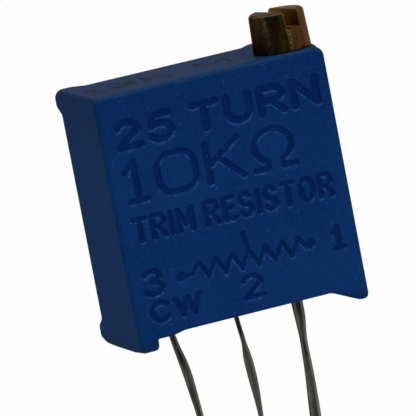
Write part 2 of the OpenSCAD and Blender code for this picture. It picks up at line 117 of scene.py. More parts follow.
def new_piece(name, points, faces):
    """An object from points in millimetres, with its faces turned outwards."""
    mesh = bpy.data.meshes.new(name)
    mesh.from_pydata(np.asarray(points, float).tolist(), [], faces)
    work = bmesh.new()
    work.from_mesh(mesh)
    bmesh.ops.recalc_face_normals(work, faces=work.faces)
    work.to_mesh(mesh)
    work.free()
    piece = bpy.data.objects.new(name, mesh)
    bpy.context.scene.collection.objects.link(piece)
    return piece


square = np.array([(0, 0), (1, 0), (1, 1), (0, 1)])
trial_points, trial_faces = skin([np.column_stack([square, np.full(4, z)]) for z in (0, 1)])
print(f"two square rings give {len(trial_points)} points and {len(trial_faces)} faces")

# %% [markdown]
# Bores and slots are cut with booleans, as a drill or a saw would. The manifold solver is quick
# and keeps the result closed, but it needs closed meshes on both sides. If one isn't closed it
# only warns and leaves the piece as it was.

# %% Cut and join
def combine(piece, tool, operation="DIFFERENCE"):
    """Applies a boolean to a piece and removes the tool."""
    step = piece.modifiers.new("combine", "BOOLEAN")
    step.operation = operation
    step.object = tool
    step.solver = "MANIFOLD"
    shown = piece.evaluated_get(bpy.context.evaluated_depsgraph_get())
    result = bpy.data.meshes.new_from_object(shown)
    piece.modifiers.clear()
    piece.data = result
    bpy.data.objects.remove(tool)
    return piece


def block(name, low, high):
    """A box between two corners, used as a tool."""
    rings = [
        np.array([(low[0], low[1], z), (high[0], low[1], z), (high[0], high[1], z), (low[0], high[1], z)])
        for z in (low[2], high[2])
    ]
    return new_piece(name, *skin(rings))


trial_plate = combine(block("plate", (0, 0, 0), (3, 3, 1)), block("slit", (1, -1, -1), (2, 4, 2)))
print(f"a plate cut through by a slit has {len(trial_plate.data.polygons)} faces")
bpy.data.objects.remove(trial_plate)

# %% [markdown]
# Turned parts are rings too: circles up the axis, each with its radius. A radius may also differ
# from side to side, and that is all a thread needs.

# %% Turn a form
SIDES = 96


def turned(name, rows, centre, sides=SIDES):
    """A turned form: each row is a radius, or one radius for each side, and a height."""
    angles = np.linspace(0, 2 * math.pi, sides, endpoint=False)
    rings = [
        np.column_stack([centre[0] + r * np.cos(angles), centre[1] + r * np.sin(angles), np.full(sides, z)])
        for r, z in rows
    ]
    return new_piece(name, *skin(rings))


flatness = head_r * (1 - math.cos(math.pi / SIDES))
print(f"{SIDES} sides leave the screw's head {flatness * 1000:.1f} micrometres off round")

# %% [markdown]
# ## Shader sums as Python
#
# A finish is a network of nodes. Writing it with a node editor's words takes many lines, so one
# small class wraps an output socket: sums on it add Math nodes, and `node()` adds any other kind.

# %% The wire
class Wire:
    """An output socket. Its sums add Math nodes, and node() adds any other node."""

    def __init__(self, tree, socket=None):
        self.tree = tree
        self.socket = socket

    def node(self, kind, settings=None, sockets=None, output=0):
        """Adds a node of a kind; its settings are set first, then its sockets' values or links."""
        made = self.tree.nodes.new("ShaderNode" + kind)
        for name, value in (settings or {}).items():
            setattr(made, name, value)
        for name, value in (sockets or {}).items():
            if isinstance(value, Wire):
                self.tree.links.new(value.socket, made.inputs[name])
            else:
                made.inputs[name].default_value = value
        return Wire(self.tree, made.outputs[output])

    def other(self, output):
        """Another output of the same node."""
        return Wire(self.tree, self.socket.node.outputs[output])

    def sum(self, operation, first, second):
        """A Math node on two values."""
        return self.node("Math", {"operation": operation}, {0: first, 1: second})

    def __add__(self, other):
        return self.sum("ADD", self, other)

    def __sub__(self, other):
        return self.sum("SUBTRACT", self, other)

    def __rsub__(self, other):
        return self.sum("SUBTRACT", other, self)

    def __mul__(self, other):
        return self.sum("MULTIPLY", self, other)

    def __gt__(self, other):
        return self.sum("GREATER_THAN", self, other)

    def __lt__(self, other):
        return self.sum("LESS_THAN", self, other)

    __radd__ = __add__
    __rmul__ = __mul__


trial_finish = bpy.data.materials.new("trial")
trial_finish.use_nodes = True
trial_sum = 1 - Wire(trial_finish.node_tree).node("Value") * 2
print("1 - value * 2 ends in a node that will", trial_sum.socket.node.operation.lower())
bpy.data.materials.remove(trial_finish)

# %% [markdown]
# Colours are written as the 0 to 255 numbers that a paint program shows, and turned into
# Blender's linear ones. Two small helpers cover what nearly every finish does: one mixes two
# colours by a mask, and the other squeezes a noise into a mask with soft edges.

# %% Colours and masks
def paint(red, green, blue):
    """A linear colour from the 0 to 255 numbers of a paint program."""
    def linear(value):
        share = value / 255
        return share / 12.92 if share <= 0.04045 else ((share + 0.055) / 1.055) ** 2.4
    return (linear(red), linear(green), linear(blue), 1.0)


def blend(mask, first, second):
    """The first colour where the mask is 0, and the second where it is 1."""
    return mask.node("Mix", {"data_type": "RGBA"}, {0: mask, 6: first, 7: second}, output=2)


def between(value, low, high):
    """A mask that rises smoothly from 0 at low to 1 at high."""
    limits = {"Value": value, "From Min": low, "From Max": high}
    return value.node("MapRange", {"interpolation_type": "SMOOTHSTEP"}, limits)


print("half grey is", round(paint(128, 128, 128)[0], 3), "in linear light")

# %% [markdown]
# Textures take their place from the object's own coordinates, so they stay on the surface when a
# piece moves. Scales are given in blots for each millimetre, the size at which wear is seen.

# %% Noise and coordinates
def noise(place, per_mm, detail=3.0, roughness=0.5):
    """Noise with so many blots in each millimetre."""
    sockets = {"Vector": place, "Scale": per_mm / MM, "Detail": detail, "Roughness": roughness}
    return place.node("TexNoise", {}, sockets)


def stretched(place, x, y, z):
    """Coordinates squeezed by a factor along each axis, for streaks."""
    return place.node("VectorMath", {"operation": "MULTIPLY"}, {0: place, 1: (x, y, z)})


def axes(place):
    """The three coordinates, in millimetres."""
    parts = place.node("SeparateXYZ", {}, {"Vector": place})
    return [parts.other(axis) * (1 / MM) for axis in ("X", "Y", "Z")]


def distance(value, middle):
    """How far a value is from a middle, on either side."""
    return value.node("Math", {"operation": "ABSOLUTE"}, {0: value - middle})


print(f"a blot for each tenth of a millimetre is a scale of {10 / MM:.0f}")

# %% [markdown]
# Every finish starts the same way, with a material, its Principled shader and the coordinates,
# and ends by dressing the shader's sockets with numbers or with wires.

# %% Start a finish and dress its shader
def bump(height, depth_mm, strength=1.0):
    """A bumpy normal from a height between 0 and 1."""
    return height.node("Bump", {}, {"Height": height, "Strength": strength, "Distance": depth_mm * MM})


def new_finish(name):
    """A material, its shader and the coordinates of a point on the object."""
    material = bpy.data.materials.new(name)
    material.use_nodes = True
    shader = material.node_tree.nodes["Principled BSDF"]
    place = Wire(material.node_tree).node("TexCoord", output="Object")
    return material, shader, place


def dress(shader, **sockets):
    """Sets or links the shader's sockets; Base_Color stands for Base Color."""
    for name, value in sockets.items():
        socket = shader.inputs[name.replace("_", " ")]
        if isinstance(value, Wire):
            value.tree.links.new(value.socket, socket)
        else:
            socket.default_value = value


trial_finish, trial_shader, _ = new_finish("trial")
print("a Principled shader has", len(trial_shader.inputs), "sockets to dress")
bpy.data.materials.remove(trial_finish)

# %% [markdown]
# ## Moulded blue plastic
#
# The housing is a glass-filled thermoset with a matt skin. Close up it is finely grained, a
# little deeper in tone towards the top, with slow clouds where the pigment flowed. Layers of soft
# noise give that, each mixed in by a share of its mask.

# %% The moulding's own colour
def moulded_blue(place, grain):
    """Clouded blue, darker in the upper part, with a pale grain."""
    cloud = noise(place, 0.35, detail=4)
    height_mm = axes(place)[2]
    tone = blend(between(cloud, 0.35, 0.65), paint(7, 42, 92), paint(11, 46, 99))
    tone = blend(between(height_mm, 6.6, 9.3) * 0.6, tone, paint(3, 35, 85))
    return blend(between(grain, 0.40, 0.68) * 0.42, tone, paint(20, 57, 111))


print("the blue in linear light:", [round(share, 3) for share in paint(11, 46, 99)[:3]])

# %% [markdown]
# A second layer goes over the moulding's own colour. The top and the left side are painted greyer:
# a painted sheen, as light gives them at a glancing angle. The upper front edge is painted paler
# along its rounding, a painted highlight. The left corner has darker nicks of wear, and the feet are
# darker towards the bottom. Which way a surface faces, from its normal on the object, says where
# each of these belongs.

# %% Painted sheen and highlight, wear and darker feet
SHEEN_FROM, SHEEN_FULL = 8.6, 9.2
DARKER_BELOW = 0.60


def wear_and_painted_light(tone, place, patch, wall):
    """The colour with painted sheen and highlight, wear and darker feet; patch is an uneven mask, and wall
    is 1 along sunk strokes.
    """
    facing = place.node("SeparateXYZ", {}, {"Vector": place.other("Normal")})
    side, ahead, up = facing.other("X"), 0 - facing.other("Y"), facing.other("Z")
    height_mm = axes(place)[2]
    # Painted sheen: the top, above these heights, is painted greyer.
    dust = between(up, 0.35, 0.95) * between(height_mm, SHEEN_FROM, SHEEN_FULL)
    tone = blend(dust * (patch * 0.08 + 0.20), tone, paint(52, 72, 66))
    # The feet are darker towards the bottom.
    tone = blend(between(height_mm, DARKER_BELOW, 0.10) * 0.4, tone, paint(14, 34, 50))
    # Painted sheen: the left side is painted greyer and greener.
    tone = blend(between(side, -0.55, -0.95) * (patch * 0.05 + 0.08), tone, paint(30, 72, 46))
    # Painted highlight: the rounding of the upper front edge is painted paler.
    edge = between(up, 0.02, 0.55) * between(ahead, 0.02, 0.40) * (1 - wall)
    tone = blend(edge * (patch * 0.10 + 0.12), tone, paint(52, 92, 130))
    corner = between(side, -0.20, -0.50) * between(side, -0.99, -0.90)
    nicks = between(noise(stretched(place, 1, 1, 0.6), 5, detail=2), 0.50, 0.62)
    return blend(corner * (nicks * 0.25 + 0.05), tone, paint(10, 44, 60))


# The feet are darker below the first height, and the top's painted sheen starts above the second.
print(f"soil below {DARKER_BELOW} mm and dust above {SHEEN_FROM} mm, on a body {top:.2f} mm high")

# %% [markdown]
# The lettering has a finish of its own. The mesh carries a value called `sunk`, 0 on the face and
# 1 on the floor of a letter. Floors are darker, partly from their smoother skin and partly as painted
# shade in the recess. Along the walls that face up a pale band and pale specks are a painted
# highlight, where light from above catches them. A few specks lie on the open face as well.

# %% Letters with painted shade and highlights, and specks
SPECKS = 15


def letters_with_painted_light(tone, place, patch, sunk, wall):
    """The colour with letter floors darker, partly as painted shade, and a painted highlight with pale
    specks on their lower walls.
    """
    up = place.node("SeparateXYZ", {}, {"Vector": place.other("Normal")}).other("Z")
    # Letter floors darker: partly their smoother skin, partly painted shade in the recess.
    tone = blend(sunk * 0.75, tone, paint(2, 30, 84))
    # Painted highlight: the lower walls of the strokes, which face up, are painted paler.
    ledge = wall * between(up, 0.10, 0.45)
    tone = blend(ledge * (patch * 0.5 + 0.18), tone, paint(42, 84, 146))
    cell = place.node("TexVoronoi", {}, {"Vector": place, "Scale": SPECKS / MM})
    chance = cell.node("SeparateColor", {}, {"Color": cell.other("Color")})
    speck = between(cell, 0.40, 0.16)
    # Pale specks, a few on the open face and many more on the lower walls as painted glints.
    pale = speck * (chance > 0.992 - 0.40 * ledge)
    tone = blend(pale * (ledge * 0.25 + 0.35), tone, paint(104, 138, 186))
    return blend(speck * (chance < 0.004) * 0.4, tone, paint(8, 20, 36))


print(f"{SPECKS ** 2} places for a speck on each square millimetre, and most stay empty")

# %% The housing's finish
def body_plastic():
    """The matt blue moulding with its letters, its wear, its grain and painted sheen, shade and highlights.
    """
    material, shader, place = new_finish("blue_moulding")
    sunk = place.node("Attribute", {"attribute_name": "sunk"}, output="Fac")
    wall = sunk * (1 - sunk) * 4
    grain = noise(place, 14, detail=2)
    patch = between(noise(place, 2.6, detail=3), 0.42, 0.60)
    tone = wear_and_painted_light(moulded_blue(place, grain), place, patch, wall)
    tone = letters_with_painted_light(tone, place, patch, sunk, wall)
    height = noise(place, 22, detail=2) * 0.7 + noise(place, 5, detail=2) * 0.5
    dress(shader, Base_Color=tone, Roughness=between(grain, 0.2, 0.8) * 0.14 + 0.52)
    dress(shader, Specular_IOR_Level=0.008, Specular_Tint=(1.0, 0.97, 0.80, 1.0))
    dress(shader, Normal=bump(height, 0.012, 0.42))
    return material


blue_moulding = body_plastic()
print("finish:", blue_moulding.name, "with", len(blue_moulding.node_tree.nodes), "nodes")

# %% [markdown]
# ## The block's outline
#
# From the front the block is a square with a foot at each lower corner, a small ledge inside the
# left foot, and slow ramps between. Corners are arcs. Each point keeps its outward normal, so the
# whole outline can be drawn in by a distance: that is how the edges get their rounding.

# %% Outline with round corners
def turn_at(way_in, way_out):
    """The angle from one direction to the next, positive to the left."""
    return math.atan2(way_in[0] * way_out[1] - way_in[1] * way_out[0], way_in @ way_out)


def corner_arc(corner, radius, way_in, turn, steps=14):
    """Points and outward normals of the arc that rounds a corner."""
    side = math.copysign(1, turn)
    first = math.atan2(-way_in[0], way_in[1])
    angles = first + turn * np.linspace(0, 1, steps + 1)
    normals = np.column_stack([np.cos(angles), np.sin(angles)])
    centre = corner - radius * math.tan(abs(turn) / 2) * way_in - side * radius * normals[0]
    return centre + side * radius * normals, normals


def rounded_outline(corners, spacing=0.1):
    """Points and outward normals round a closed outline; a corner is x, z and a radius."""
    spots = np.array([corner[:2] for corner in corners], float)
    runs = np.roll(spots, -1, axis=0) - spots
    lengths = np.linalg.norm(runs, axis=1)
    ways = runs / lengths[:, None]
    arcs = [corner_arc(spot, radius, ways[k - 1], turn_at(ways[k - 1], ways[k]))
            for k, (spot, (_, _, radius)) in enumerate(zip(spots, corners))]
    points, normals = [], []
    for k, (arc_points, arc_normals) in enumerate(arcs):
        start, stop = arc_points[-1], arcs[(k + 1) % len(arcs)][0][0]
        pieces = math.ceil(lengths[k] / spacing)
        shares = np.arange(1, pieces)[:, None] / pieces
        points += [arc_points, start + (stop - start) * shares]
        normals += [arc_normals, np.repeat(arc_normals[-1:], pieces - 1, axis=0)]
    return np.concatenate(points), np.concatenate(normals)


trial_outline, _ = rounded_outline([(0, 0, 1), (4, 0, 1), (4, 4, 1), (0, 4, 1)])
print(f"a square with round corners takes {len(trial_outline)} points")

# %% [markdown]
# The corners are given once, as a draughtsman would: from the left edge, the right edge or the
# top. Three of the radii change along the depth of the block, so they are left open.

# %% The block's corners
# Height of the underside above the feet.
UNDER = 0.52


def body_corners(edge, screw_edge, foot_edge):
    """The block's corners, anticlockwise from the top left, for three corner radii."""
    foot, ledge = left + 0.80, UNDER - 0.10
    return [
        (left, top, edge), (left, 0, foot_edge), (foot, 0, edge), (foot, ledge, 0.06),
        (left + 1.42, ledge, 0.3), (left + 1.95, UNDER, 0.8), (right - 1.48, UNDER, 0.6),
        (right - 0.38, 0, 0.5), (right, 0, min(edge, 0.24)), (right, top, screw_edge),
    ]


outline, outward = rounded_outline(body_corners(0.24, 0.40, 0.20))
print(f"outline of {len(outline)} points")

# %% [markdown]
# ## Sunk lettering
#
# The mould leaves its marks as sunk strokes with soft walls: the terminals' numbers, the sign of a
# variable resistor, CW for the way that raises it, and plain words for the number of turns and
# the value. Blender's fonts would give sharp outlines and thousands of slivers, so each glyph is a
# few centre lines here, and a stroke is simply all that lies near such a line.

# %% Glyphs as centre lines
def arc(x, y, rx, ry, start, end, steps=14):
    """Points on part of an ellipse, angles in degrees."""
    angles = np.radians(np.linspace(start, end, steps + 1))
    return [(x + rx * math.cos(a), y + ry * math.sin(a)) for a in angles]


ROUND_BOX = (
    arc(0.36, 0.64, 0.36, 0.36, 90, 180, 6) + arc(0.36, 0.36, 0.36, 0.36, 180, 270, 6)
    + arc(0.64, 0.36, 0.36, 0.36, 270, 360, 6) + arc(0.64, 0.64, 0.36, 0.36, 0, 90, 6)
    + [(0.36, 1)]
)
GLYPHS = {
    "0": (1.0, [ROUND_BOX]),
    "1": (0.5, [[(0.0, 0.74), (0.5, 1), (0.5, 0)], [(0.05, 0), (0.95, 0)]]),
    "2": (0.85, [arc(0.48, 0.72, 0.44, 0.28, 165, -32) + [(0.02, 0), (1, 0)]]),
    "3": (0.85, [arc(0.46, 0.76, 0.42, 0.24, 155, -90), arc(0.46, 0.26, 0.50, 0.26, 90, -155)]),
    "5": (0.85, [[(0.92, 1), (0.16, 1), (0.08, 0.54)] + arc(0.46, 0.33, 0.50, 0.33, 130, -150)]),
    "C": (0.95, [arc(0.55, 0.5, 0.55, 0.5, 48, 312, 22)]),
    "E": (0.75, [[(1, 1), (0, 1), (0, 0), (1, 0)], [(0, 0.52), (0.86, 0.52)]]),
    "I": (0.02, [[(0.5, 1), (0.5, 0)]]),
    "K": (0.9, [[(0, 1), (0, 0)], [(0.95, 1), (0, 0.40)], [(0.32, 0.60), (1, 0)]]),
    "M": (1.1, [[(0, 0), (0, 1), (0.5, 0.25), (1, 1), (1, 0)]]),
    "N": (0.9, [[(0, 0), (0, 1), (1, 0), (1, 1)]]),
    "O": (1.0, [arc(0.5, 0.5, 0.5, 0.5, 90, 450, 28)]),
    "R": (0.9, [[(0, 0), (0, 1), (0.6, 1)] + arc(0.62, 0.74, 0.36, 0.26, 90, -90) + [(0, 0.48)],
                [(0.52, 0.48), (1, 0)]]),
    "S": (0.85, [arc(0.5, 0.745, 0.45, 0.255, 28, 270) + arc(0.5, 0.245, 0.50, 0.245, 90, -152)]),
    "T": (0.9, [[(0, 1), (1, 1)], [(0.5, 1), (0.5, 0)]]),
    "U": (0.9, [[(0, 1), (0, 0.42)] + arc(0.5, 0.42, 0.5, 0.42, 180, 360) + [(1, 1)]]),
    "W": (1.35, [[(0, 1), (0.25, 0), (0.5, 0.95), (0.75, 0), (1, 1)]]),
    "Ω": (1.05, [[(0, 0), (0.30, 0)] + arc(0.5, 0.57, 0.47, 0.43, 244, -64, 22) + [(0.70, 0), (1, 0)]]),
}


def written(text, low, high, weight, clear=0.17):
    """Centre lines of a text that fills the box from low to high, with strokes of that weight."""
    wide = sum(GLYPHS[letter][0] for letter in text if letter != " ")
    gaps = (len(text) - 1) * (weight + clear)
    scale = (high[0] - low[0] - weight - gaps) / wide
    tall, x = high[1] - low[1] - weight, low[0] + weight / 2
    lines = []
    for letter in text:
        width, strokes = GLYPHS.get(letter, (0, []))
        for stroke in strokes:
            lines.append([(x + px * width * scale, low[1] + weight / 2 + py * tall) for px, py in stroke])
        x += width * scale + weight + clear
    return lines


print(f"{len(GLYPHS)} glyphs")

# %% [markdown]
# The rows are placed by their distance from the block's left edge and top, as a draughtsman
# would dimension them. The resistor's sign is a zigzag between two round terminals, with the
# wiper's stroke coming down on its middle peak.

# %% The marks on the front
def spot(across, down):
    """A place on the front, from the left edge and from the top."""
    return np.array([left + across, top - down])


DOTS = (2.12, 7.47), (7.52, 7.45)


def resistor_sign(middle, pitch, peak, valley):
    """A zigzag of seven peaks, from one terminal's dot to the other."""
    steps = np.arange(-6, 7)
    teeth = [(middle + pitch * k / 2, peak if k % 2 == 0 else valley) for k in steps]
    route = [DOTS[0], (2.62, 7.50), *teeth, (7.36, 7.56), DOTS[1]]
    return [spot(*place) for place in route]


def front_marks():
    """Every stroke of the front: its centre line and half its width."""
    rows = [
        ("25 TURN", (0.55, 2.25), (9.05, 1.00), 0.29, 0.17),
        ("10KΩ", (0.58, 4.33), (7.68, 2.58), 0.24, 0.28),
        ("TRIM RESISTOR", (0.55, 5.86), (8.90, 4.82), 0.20, 0.09),
        ("3", (0.52, 8.00), (1.46, 6.88), 0.23, 0.1),
        ("CW", (0.60, 9.05), (2.80, 8.15), 0.22, 0.10),
        ("2", (4.44, 9.02), (5.38, 7.98), 0.21, 0.1),
        ("1", (8.42, 7.96), (8.95, 6.92), 0.20, 0.1),
    ]
    marks = []
    for text, low, high, weight, clear in rows:
        marks += [(line, weight / 2) for line in written(text, spot(*low), spot(*high), weight, clear)]
    marks.append((resistor_sign(middle=5.0, pitch=0.69, peak=7.10, valley=7.75), 0.09))
    marks.append(([spot(4.90, 6.40), spot(4.98, 7.10)], 0.10))
    for dot in DOTS:
        marks.append(([spot(*dot), spot(*dot) + (0.01, 0)], 0.20))
    return marks


marks = front_marks()
print(f"{len(marks)} strokes on the front")

# %% [markdown]
# To sink them, every point of the face asks how far inside a stroke it lies. That distance,
# pushed through a smooth step, is the depth: flat floors, flat face, and a soft wall between.

# %% How deep a point lies
WALL = 0.10
DEPTH = 0.085


def inside_stroke(points, strokes):
    """How far each point lies inside the nearest stroke; negative outside."""
    best = np.full(len(points), -9.0)
    for line, half in strokes:
        line = np.array(line)
        low, high = line.min(0) - half - WALL, line.max(0) + half + WALL
        near = np.flatnonzero(((points > low) & (points < high)).all(1))
        for a, b in zip(line[:-1], line[1:]):
            if np.allclose(a, b):
                continue
            along = np.clip((points[near] - a) @ (b - a) / ((b - a) @ (b - a)), 0, 1)
            gap = np.linalg.norm(points[near] - a - along[:, None] * (b - a), axis=1)
            best[near] = np.maximum(best[near], half - gap)
    return best


def sunk_share(inside):
    """0 on the face, 1 on the floor of a stroke."""
    rise = np.clip(inside / WALL + 0.5, 0, 1)
    return rise * rise * (3 - 2 * rise)


print(f"on a stroke's own outline the face is {DEPTH * sunk_share(0):.4f} mm deep")

# %% [markdown]
# A face that is fine all over would waste triangles on flat plastic. The points are close only
# along the walls of the strokes and far apart elsewhere, and a constrained Delaunay triangulation
# joins them to the rounded rim.

# %% Fill a face with points
def grid(low, high, step):
    """Points of a square grid between two corners."""
    across, up = (np.arange(low[k], high[k], step) for k in (0, 1))
    return np.stack(np.meshgrid(across, up), -1).reshape(-1, 2)


def filled(loop, inner):
    """Triangles inside a loop and through more points; the loop's points are numbered first."""
    flat = [Vector(point) for point in np.concatenate([loop, inner])]
    edges = [(k, (k + 1) % len(loop)) for k in range(len(loop))]
    _, _, faces, source, _, _ = geometry.delaunay_2d_cdt(flat, edges, [], 1, 1e-7)
    return [[source[corner][0] for corner in face] for face in faces]


FINE, WIDE = 0.026, 0.13
FACE_RIM = 0.3


def front_points():
    """Points for the front face: close along the strokes' walls, wide apart elsewhere."""
    low, high = np.array([left + FACE_RIM, UNDER + 0.23]), np.array([right, top]) - FACE_RIM
    fine, wide = grid(low, high, FINE), grid(low, high, WIDE)
    near = np.abs(inside_stroke(fine, marks)) < WALL / 2 + 0.025
    clear = np.abs(inside_stroke(wide, marks)) >= WALL / 2 + 0.055
    return np.concatenate([fine[near], wide[clear]])


face_points = front_points()
print(f"{len(face_points)} points on the front")

# %% [markdown]
# ## The housing
#
# On the back a low pad stands at each corner, with an easy slope down to the flat: the block can
# lie on them. A pad is a product of two steps, one across and one up, so its height is a formula
# that any point of the back can ask for.

# %% The back pads
BACK = front + 4.33
PAD = pads_back - BACK
# How far a pad's flat reaches in from each side of the block, and how long its slopes are.
FROM_LEFT, FROM_RIGHT, FROM_FOOT, FROM_TOP = 0.60, 1.30, 0.60, 0.55
SLOPE_ACROSS, SLOPE_UP = 0.65, 0.45


def easy_step(gap, flat, slope):
    """1 as far as the flat reaches, then a cosine down to 0."""
    share = np.clip((gap - flat) / slope, 0, 1)
    return (1 + np.cos(math.pi * share)) / 2


def back_at(points):
    """Depth of the back at points of the outline's plane, with the four pads."""
    x, z = points[:, 0], points[:, 1]
    across = np.maximum(easy_step(x - left, FROM_LEFT, SLOPE_ACROSS),
                        easy_step(right - x, FROM_RIGHT, SLOPE_ACROSS))
    up = np.maximum(easy_step(z, FROM_FOOT, SLOPE_UP), easy_step(top - z, FROM_TOP, SLOPE_UP))
    return BACK + PAD * across * up


print(f"pads {PAD:.2f} mm high")

# %% [markdown]
# The form is a stack of rings from the front's rim to the back's. The front edge is a quarter
# round. Along the wall two corners change their radius: the one beside the screw is small where
# the screw's seat comes close, and the left foot's is crisp but for its ends.

# %% Rings of the front edge and of the wall
FACE_R, BACK_R, RIM = 0.18, 0.06, 0.02
QUARTER = np.linspace(0, math.pi / 2, 9)
WALL_DEPTHS = (0.22, 0.35, 0.5, 0.65, 0.8, 0.95, 1.1, 2.7, 2.9, 3.1, 3.3, 3.5, 3.7, 3.93)


def ring(points, normals, drawn_in, depth):
    """An outline drawn in by a distance, at one depth or at one for each point."""
    flat = points - normals * drawn_in
    return np.column_stack([flat[:, 0], np.broadcast_to(depth, len(flat)), flat[:, 1]])


def front_rings():
    """The rim of the front face and the rounding of its edge."""
    rows = [(FACE_R + RIM, 0)]
    rows += [(FACE_R * (1 - math.sin(angle)), FACE_R * (1 - math.cos(angle))) for angle in QUARTER]
    return [ring(outline, outward, drawn_in, front + depth) for drawn_in, depth in rows]


def screw_corner(depth, usual=0.40, drop=0.30):
    """Radius of the corner beside the screw, that far behind the front: small along its seat."""
    away = np.clip([(depth - 0.2) / 0.9, (3.5 - depth) / 0.8], 0, 1)
    return usual - drop * math.prod((1 - np.cos(math.pi * away)) / 2)


def foot_corner(depth):
    """Radius of the left foot's outer corner, that far behind the front."""
    return np.interp(depth, (0.2, 0.9, 3.3, 3.93), (0.20, 0.04, 0.04, 0.09))


def wall_at(depth):
    """Outline and normals of the wall, that far behind the front."""
    return rounded_outline(body_corners(0.15, screw_corner(depth), foot_corner(depth)))


print(f"corner beside the screw: {screw_corner(0):.2f} mm in front, {screw_corner(1.9):.2f} at its seat")

# %% [markdown]
# Behind the wall the corners widen into the pads' rounder ones, slowly at first, while each point
# also moves back to its own depth. A smaller rounding then turns the edge over to the back.

# %% Rings of the pads and of the back edge
def pad_rings(steps=10):
    """From the end of the wall to the start of the back edge."""
    wall_outline, wall_outward = wall_at(WALL_DEPTHS[-1])
    start, end = front + WALL_DEPTHS[-1], back_at(pad_outline) - BACK_R - RIM
    rings = []
    for share in np.linspace(1 / steps, 1, steps):
        mixed = wall_outline + (pad_outline - wall_outline) * share ** 2
        rings.append(ring(mixed, wall_outward, 0, start + (end - start) * share))
    return rings


def back_rings():
    """The rounding of the back edge and the rim of the back."""
    rings = []
    for angle in QUARTER:
        drawn_in = BACK_R * (1 - math.cos(angle))
        depth = back_at(pad_outline - pad_outward * drawn_in) - BACK_R * (1 - math.sin(angle))
        rings.append(ring(pad_outline, pad_outward, drawn_in, depth))
    rim = BACK_R + RIM
    return rings + [ring(pad_outline, pad_outward, rim, back_at(pad_outline - pad_outward * rim))]


pad_outline, pad_outward = rounded_outline(body_corners(0.35, 0.40, 0.33))
wall_rings = [ring(*wall_at(depth), 0, front + depth) for depth in WALL_DEPTHS]
rings = front_rings() + wall_rings + pad_rings() + back_rings()
print(f"{len(rings)} rings of {len(rings[0])} points")

# %% [markdown]
# The two flat faces complete the form. The front's points are pushed in by the lettering and the
# back's follow the pads.

# %% Fill the front and the back
def inside_loop(points, loop, margin):
    """Which points lie inside a loop, and at least a margin away from it."""
    inside = np.zeros(len(points), bool)
    nearest = np.full(len(points), np.inf)
    for a, b in zip(loop, np.roll(loop, -1, axis=0)):
        crosses = (a[1] > points[:, 1]) != (b[1] > points[:, 1])
        if a[1] != b[1]:
            at = a[0] + (points[:, 1] - a[1]) / (b[1] - a[1]) * (b[0] - a[0])
            inside ^= crosses & (points[:, 0] < at)
        nearest = np.minimum(nearest, np.linalg.norm(points - a, axis=1))
    return inside & (nearest > margin)


BACK_RIM = 0.22


def outer_form():
    """The whole outside of the housing."""
    points, faces = skin(rings, caps=False)
    count = len(rings[0])
    front_loop, back_loop = rings[0][:, [0, 2]], rings[-1][:, [0, 2]]
    depth = front + DEPTH * sunk_share(inside_stroke(face_points, marks))
    front_fill = np.column_stack([face_points[:, 0], depth, face_points[:, 1]])
    back_points = grid(back_loop.min(0) + BACK_RIM, back_loop.max(0) - BACK_RIM, WIDE)
    back_points = back_points[inside_loop(back_points, back_loop, 0.10)]
    back_fill = np.column_stack([back_points[:, 0], back_at(back_points), back_points[:, 1]])

    def joined(loop_start, fill_start, loop, inner):
        """The faces of a filled loop, in the numbering of the whole form."""
        number = np.concatenate([loop_start + np.arange(count), fill_start + np.arange(len(inner))])
        return [tuple(int(number[corner]) for corner in face) for face in filled(loop, inner)]

    faces += joined(0, len(points), front_loop, face_points)
    faces += joined(len(points) - count, len(points) + len(front_fill), back_loop, back_points)
    return new_piece("moulded_housing", np.concatenate([points, front_fill, back_fill]), faces)


housing = outer_form()
print(f"outer form with {len(housing.data.polygons)} faces")

# %% [markdown]
# The hollow inside is already right in the CAD: the wheel's pocket, the slot of the ceramic and
# the screw's bores. So it is taken from there. A block that fills the inside, less the CAD
# housing, leaves exactly the hollow as a solid, to be cut out of the new form.
#
# As the file stands that last cut has no effect: the housing stays solid, and the resin's face
# lies just inside it. The left foot's corner in the front outline has a radius of 0.20, which is
# all that the rim is drawn in by, so its arc shrinks to one point, where edges stay open. The
# solver then refuses the form. With a radius of 0.21 the form is closed and the cut works.

# %% Hollow it out
def cad_copy(node):
    """A closed copy of a CAD node, in millimetres."""
    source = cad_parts[node].data
    work = bmesh.new()
    work.from_mesh(source)
    bmesh.ops.scale(work, vec=(1 / MM,) * 3, verts=work.verts)
    bmesh.ops.remove_doubles(work, verts=work.verts, dist=1e-4)
    copy = bpy.data.objects.new("copy", bpy.data.meshes.new("copy"))
    work.to_mesh(copy.data)
    work.free()
    bpy.context.scene.collection.objects.link(copy)
    return copy


# The block that fills the inside ends within the walls, at least this far from the outside.
INSET_LOW, INSET_HIGH = np.array([0.40, 0.25, 0.65]), np.array([0.09, 0.40, 0.47])
SEAT_DEPTH, SEAT_CLEAR = 0.48, 0.02


def hollow():
    """The space inside the housing, with its mouth below and the O-ring's seat above."""
    low = np.array([left, front, 0]) + INSET_LOW
    space = block("space", low, np.array([right, BACK, top]) - INSET_HIGH)
    combine(space, cad_copy("housing"))
    mouth = block("mouth", (*seal_low[:2], -0.5), (*seal_high[:2], low[2] + 0.05))
    combine(space, mouth, "UNION")
    seat_r = (box_mm("shaft_seal")[1] - box_mm("shaft_seal")[0])[0] / 2 + SEAT_CLEAR
    rows = [(seat_r, top - SEAT_DEPTH), (seat_r, top - 0.03), (seat_r + 0.05, top + 0.02)]
    return combine(space, turned("seat", rows, (screw_x, screw_y)), "UNION")


whole = len(housing.data.polygons)
combine(housing, hollow())
print(f"housing with {len(housing.data.polygons)} faces, {whole} before the cut")

# %% [markdown]
# ## Handing a piece over
#
# A finished piece is scaled to metres and shaded smooth up to a crease angle. Then it gets its
# finish, it is hung on the empty of the body it rides on, and the CAD nodes it stands for are hidden.

